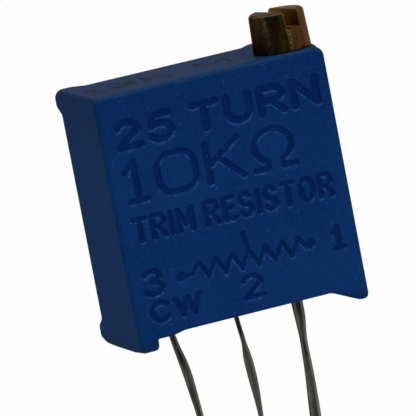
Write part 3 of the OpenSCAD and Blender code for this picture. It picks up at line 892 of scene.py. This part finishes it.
# %% Settle a piece
def settle(piece, material, body, nodes, crease=35):
    """Scales a piece to metres, dresses it, hangs it on its body and hides the CAD nodes it stands for."""
    piece.data.transform(Matrix.Scale(MM, 4))
    piece.data.shade_smooth()
    piece.data.set_sharp_from_angle(angle=math.radians(crease))
    piece.data.materials.clear()
    piece.data.materials.append(material)
    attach(piece, body)
    if nodes:
        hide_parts(*nodes)
    print(f"{piece.name}: {len(piece.data.vertices)} points")


# %% [markdown]
# The housing's finish needs to know how deep each point is sunk. The mesh keeps that as an
# attribute: it is worked out once here, from the same strokes that shaped the face.

# %% Mark the letters and settle the housing
def mark_sunk(piece):
    """Stores how deep each point of the front is sunk, for the finish."""
    points = np.zeros(len(piece.data.vertices) * 3, np.float32)
    piece.data.vertices.foreach_get("co", points)
    points = points.reshape(-1, 3)
    share = np.clip((points[:, 1] - front) / DEPTH, 0, 1)
    share[inside_stroke(points[:, [0, 2]].astype(float), marks) < -WALL / 2] = 0
    share[points[:, 1] > front + DEPTH * 1.01] = 0
    values = piece.data.attributes.new("sunk", "FLOAT", "POINT")
    values.data.foreach_set("value", share.astype(np.float32))


mark_sunk(housing)
settle(housing, blue_moulding, "housing", ["housing"])

# %% [markdown]
# ## Brass
#
# The screw is turned from brass rod and has tarnished to a deep brown. Drawing the rod and
# handling it leave streaks along its length. Over these, light is painted in: the left half is a
# darker olive and the right a lighter, redder tan as painted reflections, with a painted highlight
# line where the two meet and paler painted flanks. A metal's colour is its Base Color, so all of
# this is there.

# %% The turned skin
CROWN = screw_high[2] + 0.04
SLOT_WIDTH, SLOT_TURN = 0.64, math.radians(13)
SLOT_FLOOR = screw_high[2] - 0.68


def turned_skin(place, streak, spots, patch):
    """Tarnish streaks on the turned surface, with painted reflections: olive on the left, tan on the right.
    """
    x, y, z = axes(place)
    olive = blend(between(streak, 0.40, 0.66), paint(18, 14, 6), paint(32, 26, 12))
    # Painted reflection: the left flank is painted paler.
    olive = blend(between(x, screw_x - 0.72, screw_x - 1.05) * 0.3, olive, paint(78, 60, 42))
    # Painted reflection: a pale streak down the left flank.
    reflected_streak = between(distance(x, screw_x - 0.80), 0.13, 0.02) * (spots * 0.35 + 0.2) * patch
    olive = blend(reflected_streak, olive, paint(104, 86, 66))
    tan = blend(between(streak, 0.36, 0.66), paint(50, 34, 14), paint(72, 48, 22))
    # Painted reflection: the right flank is painted paler.
    tan = blend(between(x, screw_x + 0.45, screw_x + 1.0) * 0.8, tan, paint(116, 85, 67))
    # Painted reflection: the left half darker olive, the right half lighter tan.
    tone = blend(between(x, screw_x - 0.06, screw_x + 0.08), olive, tan)
    # Painted highlight: a bright line down the front of the screw.
    line = between(distance(x, screw_x), 0.11, 0.02) * (z < SLOT_FLOOR) * (y < screw_y)
    tone = blend(line * (spots * 0.4 + 0.04), tone, paint(152, 128, 64))
    tone = blend(spots * patch * 0.05, tone, paint(140, 116, 80))
    return blend((z > CROWN - 0.07) * (patch * 0.2 + 0.7), tone, paint(86, 70, 65))


print(f"head up to {CROWN:.2f} mm, slot {SLOT_WIDTH} mm wide and {CROWN - SLOT_FLOOR:.2f} mm deep")

# %% [markdown]
# The slot's walls are painted a little brighter and redder than the rest and its floor brighter
# still, as painted light that reaches into the slot, and its upper edges get a painted highlight.
# The slot is found by the distance across it.

# %% The sawn slot and the whole finish
def slot_with_painted_light(tone, place, spots, patch):
    """The colour with the slot's walls and floor painted lighter, and a painted highlight on its edges."""
    x, y, z = axes(place)
    across = (x - screw_x) * math.cos(SLOT_TURN) + (y - screw_y) * math.sin(SLOT_TURN)
    sawn = (distance(across, 0) < SLOT_WIDTH / 2 + 0.012) * (z > SLOT_FLOOR - 0.008)
    # Painted light: the slot's walls and floor are painted lighter.
    walls = blend(patch * 0.6, paint(100, 72, 44), paint(76, 52, 30))
    tone = blend(sawn, tone, blend(z > SLOT_FLOOR + 0.03, paint(118, 86, 48), walls))
    # Painted highlight along the slot's upper edges.
    rim = sawn * between(distance(across, 0), SLOT_WIDTH / 2 - 0.01, SLOT_WIDTH / 2 + 0.01)
    return blend(rim * spots * patch * 0.5, tone, paint(160, 124, 70))


def brass():
    """Tarnished brass with a sawn slot and painted reflections; the grain runs along the screw and the
    tool's marks across.
    """
    material, shader, place = new_finish("tarnished_brass")
    streak = noise(stretched(place, 1, 1, 0.10), 5.5, detail=3, roughness=0.6)
    spots = between(noise(place, 16, detail=2), 0.52, 0.62)
    patch = between(noise(place, 3.5, detail=3), 0.40, 0.62)
    tone = slot_with_painted_light(turned_skin(place, streak, spots, patch), place, spots, patch)
    turning = noise(stretched(place, 1, 1, 6), 9, detail=1)
    dress(shader, Base_Color=tone, Metallic=1.0, Roughness=streak * 0.2 + 0.30)
    dress(shader, Specular_Tint=(0.46, 0.40, 0.32, 1.0))
    dress(shader, Normal=bump(streak * 0.6 + turning * 0.25, 0.010, 0.5))
    return material


tarnished_brass = brass()
print("finish:", tarnished_brass.name, "with", len(tarnished_brass.node_tree.nodes), "nodes")

# %% [markdown]
# ## The adjusting screw
#
# Everything on it is turned, from the pilot at its foot, through the worm and the groove of the
# retaining clip, to the head. The worm is a thread whose radius depends on the angle too, so its
# rows carry one radius for each side.

# %% The worm's thread
MODULE = 0.20
WORM_PITCH = math.pi * MODULE
WORM_TIP, WORM_ROOT = 0.80, 0.35
WORM_LOW, WORM_HIGH = 3.68, 7.92
RUN_OUT = 0.25


def thread_rows(sides, rows_per_turn=24):
    """Rows of a single-start thread that fades in and out at its ends."""
    turns = np.linspace(0, 1, sides, endpoint=False)
    rows = []
    count = round((WORM_HIGH - WORM_LOW) / WORM_PITCH * rows_per_turn) + 1
    for z in np.linspace(WORM_LOW, WORM_HIGH, count):
        phase = (z / WORM_PITCH - turns) % 1
        flank = np.clip(0.5 + (0.25 - np.abs(phase - 0.5)) / 0.22, 0, 1)
        fade = min(1, (z - WORM_LOW) / RUN_OUT, (WORM_HIGH - z) / RUN_OUT)
        rows.append((WORM_ROOT + (WORM_TIP - WORM_ROOT) * flank * fade, z))
    return rows


print(f"worm of {(WORM_HIGH - WORM_LOW) / WORM_PITCH:.1f} turns")

# %% Turn the screw
PILOT_R, GROOVE_R = 0.42, 0.46
COLLAR_R, HEAD_R = head_r + 0.035, head_r - 0.02
STEP = 0.01


def rounded_edge(r, z, radius, up, steps=5):
    """Rows of a rounded outer edge, walked from the wall to the face if up is 1."""
    angles = np.linspace(0, math.pi / 2, steps + 1)[:: 1 if up > 0 else -1]
    return [(r - radius * (1 - math.cos(a)), z + up * radius * (math.sin(a) - 1)) for a in angles]


def screw_rows(sides):
    """The whole screw from foot to head."""
    clip_low, clip_high = (corner[2] for corner in box_mm("retaining_clip"))
    groove = clip_low - 0.025, clip_high + 0.025
    rows = rounded_edge(PILOT_R, screw_low[2], 0.05, -1)
    rows += [(PILOT_R, WORM_LOW - 2 * STEP), (WORM_ROOT, WORM_LOW - STEP)]
    rows += thread_rows(sides)
    rows += [(WORM_ROOT, WORM_HIGH + STEP), (WORM_TIP, WORM_HIGH + 2 * STEP), (WORM_TIP, groove[0])]
    rows += [(GROOVE_R, groove[0]), (GROOVE_R, groove[1]), (WORM_TIP, groove[1]), (WORM_TIP, top + 0.02)]
    rows += rounded_edge(COLLAR_R, top + 0.02, 0.03, -1, 3)
    return rows + rounded_edge(HEAD_R, CROWN, 0.17, 1, 7)


screw = turned("slotted_screw", screw_rows(SIDES), (screw_x, screw_y))
print(f"screw with {len(screw.data.polygons)} faces")

# %% [markdown]
# The slot is sawn last, across the head and a little askew. The blade is a bar with round lower
# corners and a slight flare at the top, which breaks the slot's upper edges as use does.

# %% Saw the slot
BLADE_REACH = 1.6


def saw(burr=0.02, corner=0.06):
    """A blade that leaves a slot with round bottom corners and slightly broken top edges."""
    half = SLOT_WIDTH / 2
    side = [(half - corner + corner * math.sin(a), SLOT_FLOOR + corner - corner * math.cos(a))
            for a in np.linspace(0, math.pi / 2, 5)]
    side += [(half, CROWN - burr), (half + burr, CROWN), (half + burr, CROWN + 0.3)]
    section = np.array(side + [(-u, z) for u, z in reversed(side)])
    across = np.array([math.cos(SLOT_TURN), math.sin(SLOT_TURN)])
    along = np.array([-math.sin(SLOT_TURN), math.cos(SLOT_TURN)])
    blade = []
    for end in (-BLADE_REACH, BLADE_REACH):
        flat = np.array([screw_x, screw_y]) + section[:, :1] * across + end * along
        blade.append(np.column_stack([flat, section[:, 1]]))
    return new_piece("saw", *skin(blade))


combine(screw, saw())
settle(screw, tarnished_brass, "screw", ["adjusting_screw"], crease=30)

# %% [markdown]
# ## Tinned leads
#
# Each lead is a flat strip of tinned wire. The tin is dull and streaked along its length. Its middle,
# as seen from the front, is painted dark, most of all near the body: a painted reflection, with the
# edges left paler. The mesh keeps how far each point lies `across` the strip as seen from the front,
# and the painted dark middle follows that value.

# %% The leads' finish
def tinned():
    """Dull tin with a painted dark middle, a painted reflection; grain runs down the strip."""
    material, shader, place = new_finish("dull_tin")
    across = place.node("Attribute", {"attribute_name": "across"}, output="Fac")
    streak = noise(stretched(place, 1, 1, 0.08), 9, detail=3)
    blot = between(noise(stretched(place, 1, 1, 0.5), 1.6, detail=3), 0.40, 0.64)
    near = between(axes(place)[2], -1.8, -0.5)
    # Painted reflection: dark along the middle as seen from the front, darker still near the body.
    painted_dark_middle = between(distance(across, 0.08) + streak * 0.4, 0.92, 0.40) * (blot * 0.4 + near * 0.3 + 0.4)
    grey = blend(between(streak, 0.35, 0.65), paint(82, 82, 77), paint(102, 102, 96))
    dress(shader, Base_Color=blend(painted_dark_middle, grey, paint(30, 29, 26)), Metallic=1.0)
    dress(shader, Roughness=blot * 0.2 + 0.36, Specular_Tint=(0.35, 0.35, 0.33, 1.0))
    dress(shader, Normal=bump(streak, 0.008, 0.5))
    return material


dull_tin = tinned()
print("finish:", dull_tin.name, "with", len(dull_tin.node_tree.nodes), "nodes")

# %% [markdown]
# The strip was rolled from round wire, so its sides are round and its faces a little crowned.

# %% A lead's section
def lead_section(width=0.56, thick=0.19, crown=0.012, steps=8):
    """A rolled wire's section: two round sides joined by slightly crowned faces."""
    radius = thick / 2 - crown
    reach = width / 2 - radius
    points = []
    for side in (1, -1):
        for angle in np.linspace(-90, 90, steps + 1) * side + (0 if side > 0 else 180):
            a = math.radians(angle)
            points.append((side * reach + radius * math.cos(a), radius * math.sin(a)))
        for share in np.linspace(1, -1, steps + 1)[1:-1]:
            points.append((side * reach * share, side * (radius + crown * (1 - share ** 2))))
    return np.array(points)


section = lead_section()
print(f"lead section of {len(section)} points")

# %% [markdown]
# Each strip is turned nearly edge-on inside the compound and was bent a little in handling. It is
# swept down its height: at each ring the section is turned and moved sideways by the lead's own
# bends, which are close to the CAD's but with eased corners.

# %% Sweep the leads
LEAD_PITCH = 2.54
LEAD_X = {"lead_1": LEAD_PITCH, "lead_2": 0.0, "lead_3": -LEAD_PITCH}
# Depths below the body with the shift to the side there, then depths with the turn in degrees.
LEADS = {
    "lead_1": ([(0, 0.02), (0.9, 0.06), (1.9, 0.02), (3.2, 0.01), (4.5, -0.05), (7, -0.20)],
               [(0, -56), (0.9, -64), (1.8, -92), (2.4, -88), (3.3, -80), (4.5, -66), (7, -50)]),
    "lead_2": ([(0, 0), (0.6, 0.04), (1.5, 0.15), (2.2, 0.18), (3.0, 0.23), (3.9, 0.26), (7, 0.26)],
               [(0, 72), (1.4, 72), (2.1, 102), (3.0, 101), (4.2, 79), (7, 48)]),
    "lead_3": ([(0, -0.22), (0.9, -0.07), (1.5, 0.07), (2.2, 0.19), (3.6, 0.34), (7, 0.65)],
               [(0, 84), (0.9, 90), (1.8, 104), (2.7, 99), (3.6, 89), (7, 84)]),
}
LEAD_RINGS = 140
# How much of a point's x and y shows sideways from the front left, for the painted dark middle.
VIEW_X, VIEW_Y = 0.95, -0.31


def eased(down, pairs, soft=0.3):
    """A value at a depth, from pairs of depth and value, with the corners eased."""
    depths, values = zip(*pairs)
    return np.interp(down + np.linspace(-soft, soft, 9), depths, values).mean()


def sweep_lead(name):
    """A twisted strip from the solder joint down to its tip."""
    low, high = box_mm(name)
    flat_above = UNDER - (box_mm("ceramic_plate")[0][2] - 0.02)
    shifts, turns = LEADS[name]
    rows, across = [], []
    for z in np.linspace(high[2], low[2], LEAD_RINGS):
        down = UNDER - z
        turn = math.radians(eased(down, [(flat_above, 0), *turns]))
        middle = LEAD_X[name] + eased(down, [(flat_above, 0), (-0.3, 0), *shifts])
        x = middle + section[:, 0] * math.cos(turn) - section[:, 1] * math.sin(turn)
        y = section[:, 0] * math.sin(turn) + section[:, 1] * math.cos(turn)
        rows.append(np.column_stack([x, y, np.full(len(section), z)]))
        # Across the strip as the camera sees it, for the painted reflection.
        sideways = (x - middle) * VIEW_X + y * VIEW_Y
        across += list(sideways / sideways.max())
    piece = new_piece(name.replace("lead", "twisted_lead"), *skin(rows))
    piece.data.attributes.new("across", "FLOAT", "POINT").data.foreach_set("value", across)
    return piece


for name in LEADS:
    settle(sweep_lead(name), dull_tin, "housing", [name])

# %% [markdown]
# ## Sealing compound
#
# The pocket is closed from below with a poured resin, slate blue and slightly glossy, with dust
# caught in its skin.

# %% The compound's finish
def epoxy():
    """Slate blue resin with clouds and specks of dust."""
    material, shader, place = new_finish("poured_resin")
    cloud = between(noise(place, 0.9, detail=4), 0.35, 0.68)
    dust = between(noise(place, 12, detail=2), 0.62, 0.74)
    tone = blend(cloud, paint(24, 34, 58), paint(38, 50, 78))
    dress(shader, Base_Color=blend(dust * 0.35, tone, paint(96, 102, 112)))
    dress(shader, Roughness=cloud * 0.15 + 0.22, Normal=bump(noise(place, 1.6, detail=2), 0.02, 0.6))
    return material


poured_resin = epoxy()
print("finish:", poured_resin.name, "with", len(poured_resin.node_tree.nodes), "nodes")

# %% [markdown]
# Resin wets the walls and the leads, so its face creeps along them and is drawn in between: a
# shallow dish seen from below. The face is a grid whose height falls off with the distance to
# the nearest wall or lead, and a skirt round the grid closes it to a block.

# %% Pour the compound
CREEP, CREEP_REACH = 0.06, 0.12
ROWS, COLUMNS = 37, 81


def rim_order(rows, columns):
    """Numbers of a grid's outer points, once round."""
    last = (rows - 1) * columns
    right_side = [r * columns + columns - 1 for r in range(1, rows)]
    back_side = [last + c for c in range(columns - 2, -1, -1)]
    return [*range(columns), *right_side, *back_side, *range(last - columns, 0, -columns)]


def dished(x, y):
    """Height of the resin's face, which creeps down at the walls and the leads."""
    gap = np.minimum.reduce([x - seal_low[0], seal_high[0] - x, y - seal_low[1], seal_high[1] - y])
    for middle in LEAD_X.values():
        gap = np.minimum(gap, np.maximum(np.hypot(x - middle, y) - 0.28, 0))
    return seal_low[2] - CREEP * np.exp(-gap / CREEP_REACH)


def pour():
    """The resin's block, with a dished face below."""
    sides = [np.linspace(seal_low[k], seal_high[k], count) for k, count in ((0, COLUMNS), (1, ROWS))]
    x, y = np.meshgrid(*sides)
    order = rim_order(ROWS, COLUMNS)
    low_points = np.stack([x, y, dished(x, y)], -1).reshape(-1, 3)
    high_points = np.stack([x, y, np.full_like(x, seal_high[2])], -1).reshape(-1, 3)[order]
    faces = [(k, k + 1, k + COLUMNS + 1, k + COLUMNS)
             for r in range(ROWS - 1) for k in range(r * COLUMNS, (r + 1) * COLUMNS - 1)]
    start = len(low_points)
    for k, point in enumerate(order):
        after = (k + 1) % len(order)
        faces.append((point, order[after], start + after, start + k))
    faces.append(tuple(start + k for k in range(len(order))))
    return new_piece("poured_seal", np.concatenate([low_points, high_points]), faces)


settle(pour(), poured_resin, "housing", ["sealing_compound"])

# %% [markdown]
# ## Value on the top
#
# The value and its tolerance letter were stamped on the top with an ink that has worn to a few
# olive stains. Each mark is a film a few micrometres thick that lies on the plastic. The strokes
# overlap where they meet, so they are melted into one outline before the film is raised.

# %% Film from strokes
def stadium(a, b, half):
    """The outline of a stroke from a to b with round ends."""
    way = math.atan2(b[1] - a[1], b[0] - a[0])
    ends = [(b, way - math.pi / 2), (a, way + math.pi / 2)]
    return [end + half * np.array([math.cos(first + t), math.sin(first + t)])
            for end, first in ends for t in np.linspace(0, math.pi, 7)]


def film(name, strokes, low, high):
    """A thin closed film in the shape of strokes, drawn in the plane from above."""
    flat, outlines = [], []
    for line, half in strokes:
        for a, b in zip(np.array(line[:-1]), np.array(line[1:])):
            shape = stadium(a, b, half)
            outlines.append(list(range(len(flat), len(flat) + len(shape))))
            flat += [Vector(point) for point in shape]
    corners, _, faces, _, _, _ = geometry.delaunay_2d_cdt(flat, [], outlines, 1, 1e-6)
    rim = {}
    for face in faces:
        for a, b in zip(face, face[1:] + face[:1]):
            if (b, a) in rim:
                del rim[b, a]
            else:
                rim[a, b] = True
    count = len(corners)
    points = [(*p, low) for p in corners] + [(*p, high) for p in corners]
    solid = [tuple(face) for face in faces] + [tuple(count + v for v in face) for face in faces]
    return new_piece(name, points, solid + [(a, b, count + b, count + a) for a, b in rim])


print(f"a single stroke is an outline of {len(stadium((0, 0), (1, 0), 0.1))} points")

# %% Stamp the top
INK_HALF = 0.13


def ink():
    """An olive film that is worn away in places, down to nothing."""
    material, shader, place = new_finish("worn_ink")
    wear = between(noise(place, 1.1, detail=3, roughness=0.6), 0.32, 0.64)
    tone = blend(between(noise(place, 3), 0.4, 0.6), paint(62, 66, 50), paint(58, 58, 52))
    dress(shader, Base_Color=tone, Roughness=0.8, Alpha=wear * 0.55, Specular_IOR_Level=0.01)
    return material


worn_ink = ink()
stamps = written("10K", (left + 0.45, -1.05), (left + 3.75, 0.45), 0.20, 0.28)
stamps += written("M", (left + 5.05, -0.95), (left + 6.35, 0.50), 0.20, 0.2)
value_marks = film("value_marks", [(line, INK_HALF) for line in stamps], top - 0.002, top + 0.004)
settle(value_marks, worn_ink, "housing", None)

# %% [markdown]
# ## Finishes inside
#
# The pieces inside keep their CAD shape. They are seen only when the part is taken apart, but
# each still gets the finish of what it is: fired ceramic, printed metal, moulded nylon, spring
# bronze, spring steel, rubber and solder.

# %% One recipe for them all
def speckled(name, first, second, per_mm, metallic=0.0, rough=(0.4, 0.6), relief=0.004):
    """A finish of two tones in soft blots, with a fine relief."""
    material, shader, place = new_finish(name)
    blots = noise(place, per_mm, detail=4)
    mask = between(blots, 0.38, 0.62)
    fine = noise(place, per_mm * 5, detail=2)
    dress(shader, Base_Color=blend(mask, paint(*first), paint(*second)), Metallic=metallic)
    dress(shader, Roughness=mask * (rough[1] - rough[0]) + rough[0])
    dress(shader, Normal=bump(blots * 0.5 + fine * 0.5, relief, 0.5))
    return material


seal_rubber = speckled("seal_rubber", (30, 30, 31), (44, 43, 42), 3, rough=(0.6, 0.75))
print("finish:", seal_rubber.name, "with", len(seal_rubber.node_tree.nodes), "nodes")

# %% Dress the inner pieces
inner_finishes = {
    "shaft_seal": seal_rubber,
    "retaining_clip": speckled("clip_steel", (150, 152, 156), (178, 180, 184), 6, 1.0, (0.25, 0.4)),
    "worm_wheel": speckled("white_nylon", (224, 219, 203), (234, 230, 218), 1.5, rough=(0.38, 0.5)),
    "wiper_spring": speckled("spring_bronze", (190, 140, 84), (208, 162, 104), 4, 1.0, (0.25, 0.38)),
    "ceramic_plate": speckled("fired_alumina", (236, 235, 230), (244, 243, 240), 5, rough=(0.5, 0.62)),
    "resistance_track": speckled("cermet_print", (38, 37, 38), (54, 52, 52), 9, rough=(0.35, 0.5)),
    "collector_ring": speckled("silver_print", (176, 176, 172), (198, 198, 194), 8, 0.9, (0.35, 0.5)),
    "solder_joint_1": speckled("bright_solder", (168, 170, 172), (190, 192, 194), 2, 1.0, (0.2, 0.35)),
}
for number in (1, 2, 3):
    inner_finishes[f"conductor_{number}"] = inner_finishes["collector_ring"]
    inner_finishes[f"solder_joint_{number}"] = inner_finishes["solder_joint_1"]
for node, material in inner_finishes.items():
    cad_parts[node].data.materials.clear()
    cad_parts[node].data.materials.append(material)
print(f"{len(inner_finishes)} inner pieces dressed")

# %% [markdown]
# ## Stage, light and camera
#
# The part stands on its lead tips over a pale floor, as it would hang in a board. What the camera
# and the reflections see of the floor is nearly pure white from an Emission shader. A small share
# of the matt floor is kept in the mix, and the part's shadow shows in that.

# %% Floor
FLOOR_REACH = 3.0
WHITE_SHARE = 0.96


def pale_floor():
    """A wide floor at the tips of the leads: white to the camera, but with the part's shadow."""
    reach, z = FLOOR_REACH, cad_low[2]
    mesh = bpy.data.meshes.new("floor")
    mesh.from_pydata([(-reach, -reach, z), (reach, -reach, z), (reach, reach, z), (-reach, reach, z)],
                     [], [(0, 1, 2, 3)])
    floor = bpy.data.objects.new("floor", mesh)
    bpy.context.scene.collection.objects.link(floor)
    material, shader, place = new_finish("pale_floor")
    dress(shader, Base_Color=(0.92, 0.92, 0.92, 1), Roughness=0.9, Specular_IOR_Level=0.1)
    rays = place.node("LightPath")
    seen = rays + rays.other("Is Glossy Ray") + rays.other("Is Transmission Ray")
    white = place.node("Emission", {}, {"Color": (1, 1, 1, 1), "Strength": 1.0})
    matt = Wire(place.tree, shader.outputs[0])
    mixed = place.node("MixShader", {}, {0: between(seen, 0, 1) * WHITE_SHARE, 1: matt, 2: white})
    output = place.tree.nodes["Material Output"]
    place.tree.links.new(mixed.socket, output.inputs["Surface"])
    mesh.materials.append(material)


pale_floor()
print("floor at", round(cad_low[2] / MM, 2), "mm")

# %% [markdown]
# The sky does two jobs. It lights the part softly from all sides at half strength, and it is fully
# white wherever the camera, a reflection or glass looks at it.

# %% Surroundings
def surroundings(light=0.50):
    """A plain sky that lights the part softly, and is white where it is seen."""
    world = bpy.data.worlds.new("studio")
    bpy.context.scene.world = world
    world.use_nodes = True
    tree = world.node_tree
    rays = Wire(tree).node("LightPath")
    seen = between(rays + rays.other("Is Glossy Ray") + rays.other("Is Transmission Ray"), 0, 1)
    sky = tree.nodes["Background"]
    sky.inputs["Color"].default_value = (1, 1, 1, 1)
    tree.links.new((seen * (1 - light) + light).socket, sky.inputs["Strength"])


surroundings()
print("plain white sky")

# %% [markdown]
# A large soft lamp behind and above makes the top and the left side paler than the front, and a
# weaker one fills the front. Both are wide for their distance, so the shadows have no hard edge.

# %% Lamps
def lamp(name, place, size, power):
    """A square soft lamp that looks at the middle of the part; place in metres."""
    data = bpy.data.lights.new(name, "AREA")
    data.shape, data.size, data.energy = "SQUARE", size, power
    made = bpy.data.objects.new(name, data)
    middle = (cad_low + cad_high) / 2
    made.location = Vector(place)
    made.rotation_euler = (middle - made.location).to_track_quat("-Z", "Y").to_euler()
    bpy.context.scene.collection.objects.link(made)


lamp("overhead", (-0.06, 0.06, 0.32), 0.24, 0.10)
lamp("front_soft", (0.10, -0.30, 0.14), 0.20, 0.45)
print("two lamps")

# %% [markdown]
# A long lens from a little over a quarter of a metre keeps the upright edges nearly parallel. The
# camera looks from slightly left of the marked face and a little above, and is rolled, so that the
# part leans as if it was laid down by hand.

# %% Camera
def aim_camera(azimuth, elevation, roll, distance, target, lens):
    """A camera on a sphere round the target, angles in degrees, rolled about its own axis."""
    a, e, r = (math.radians(x) for x in (azimuth, elevation, roll))
    back = Vector((math.sin(a) * math.cos(e), -math.cos(a) * math.cos(e), math.sin(e)))
    side = (-back).cross(Vector((0, 0, 1))).normalized()
    up = side.cross(-back)
    rolled_side = math.cos(r) * side + math.sin(r) * up
    rolled_up = math.cos(r) * up - math.sin(r) * side
    data = bpy.data.cameras.new("camera")
    data.lens, data.sensor_width, data.clip_start, data.clip_end = lens, 36, 0.01, 20
    camera = bpy.data.objects.new("camera", data)
    turn = Matrix((rolled_side, rolled_up, back)).transposed().to_4x4()
    camera.matrix_world = Matrix.Translation(Vector(target) + back * distance) @ turn
    bpy.context.scene.collection.objects.link(camera)
    bpy.context.scene.camera = camera


aim_camera(azimuth=-18.12, elevation=9.0, roll=-10.87, distance=0.2768,
           target=(-0.000345, -0.000246, 0.004580), lens=619.6)
bpy.context.scene.view_settings.view_transform = "Standard"
print("camera in place")
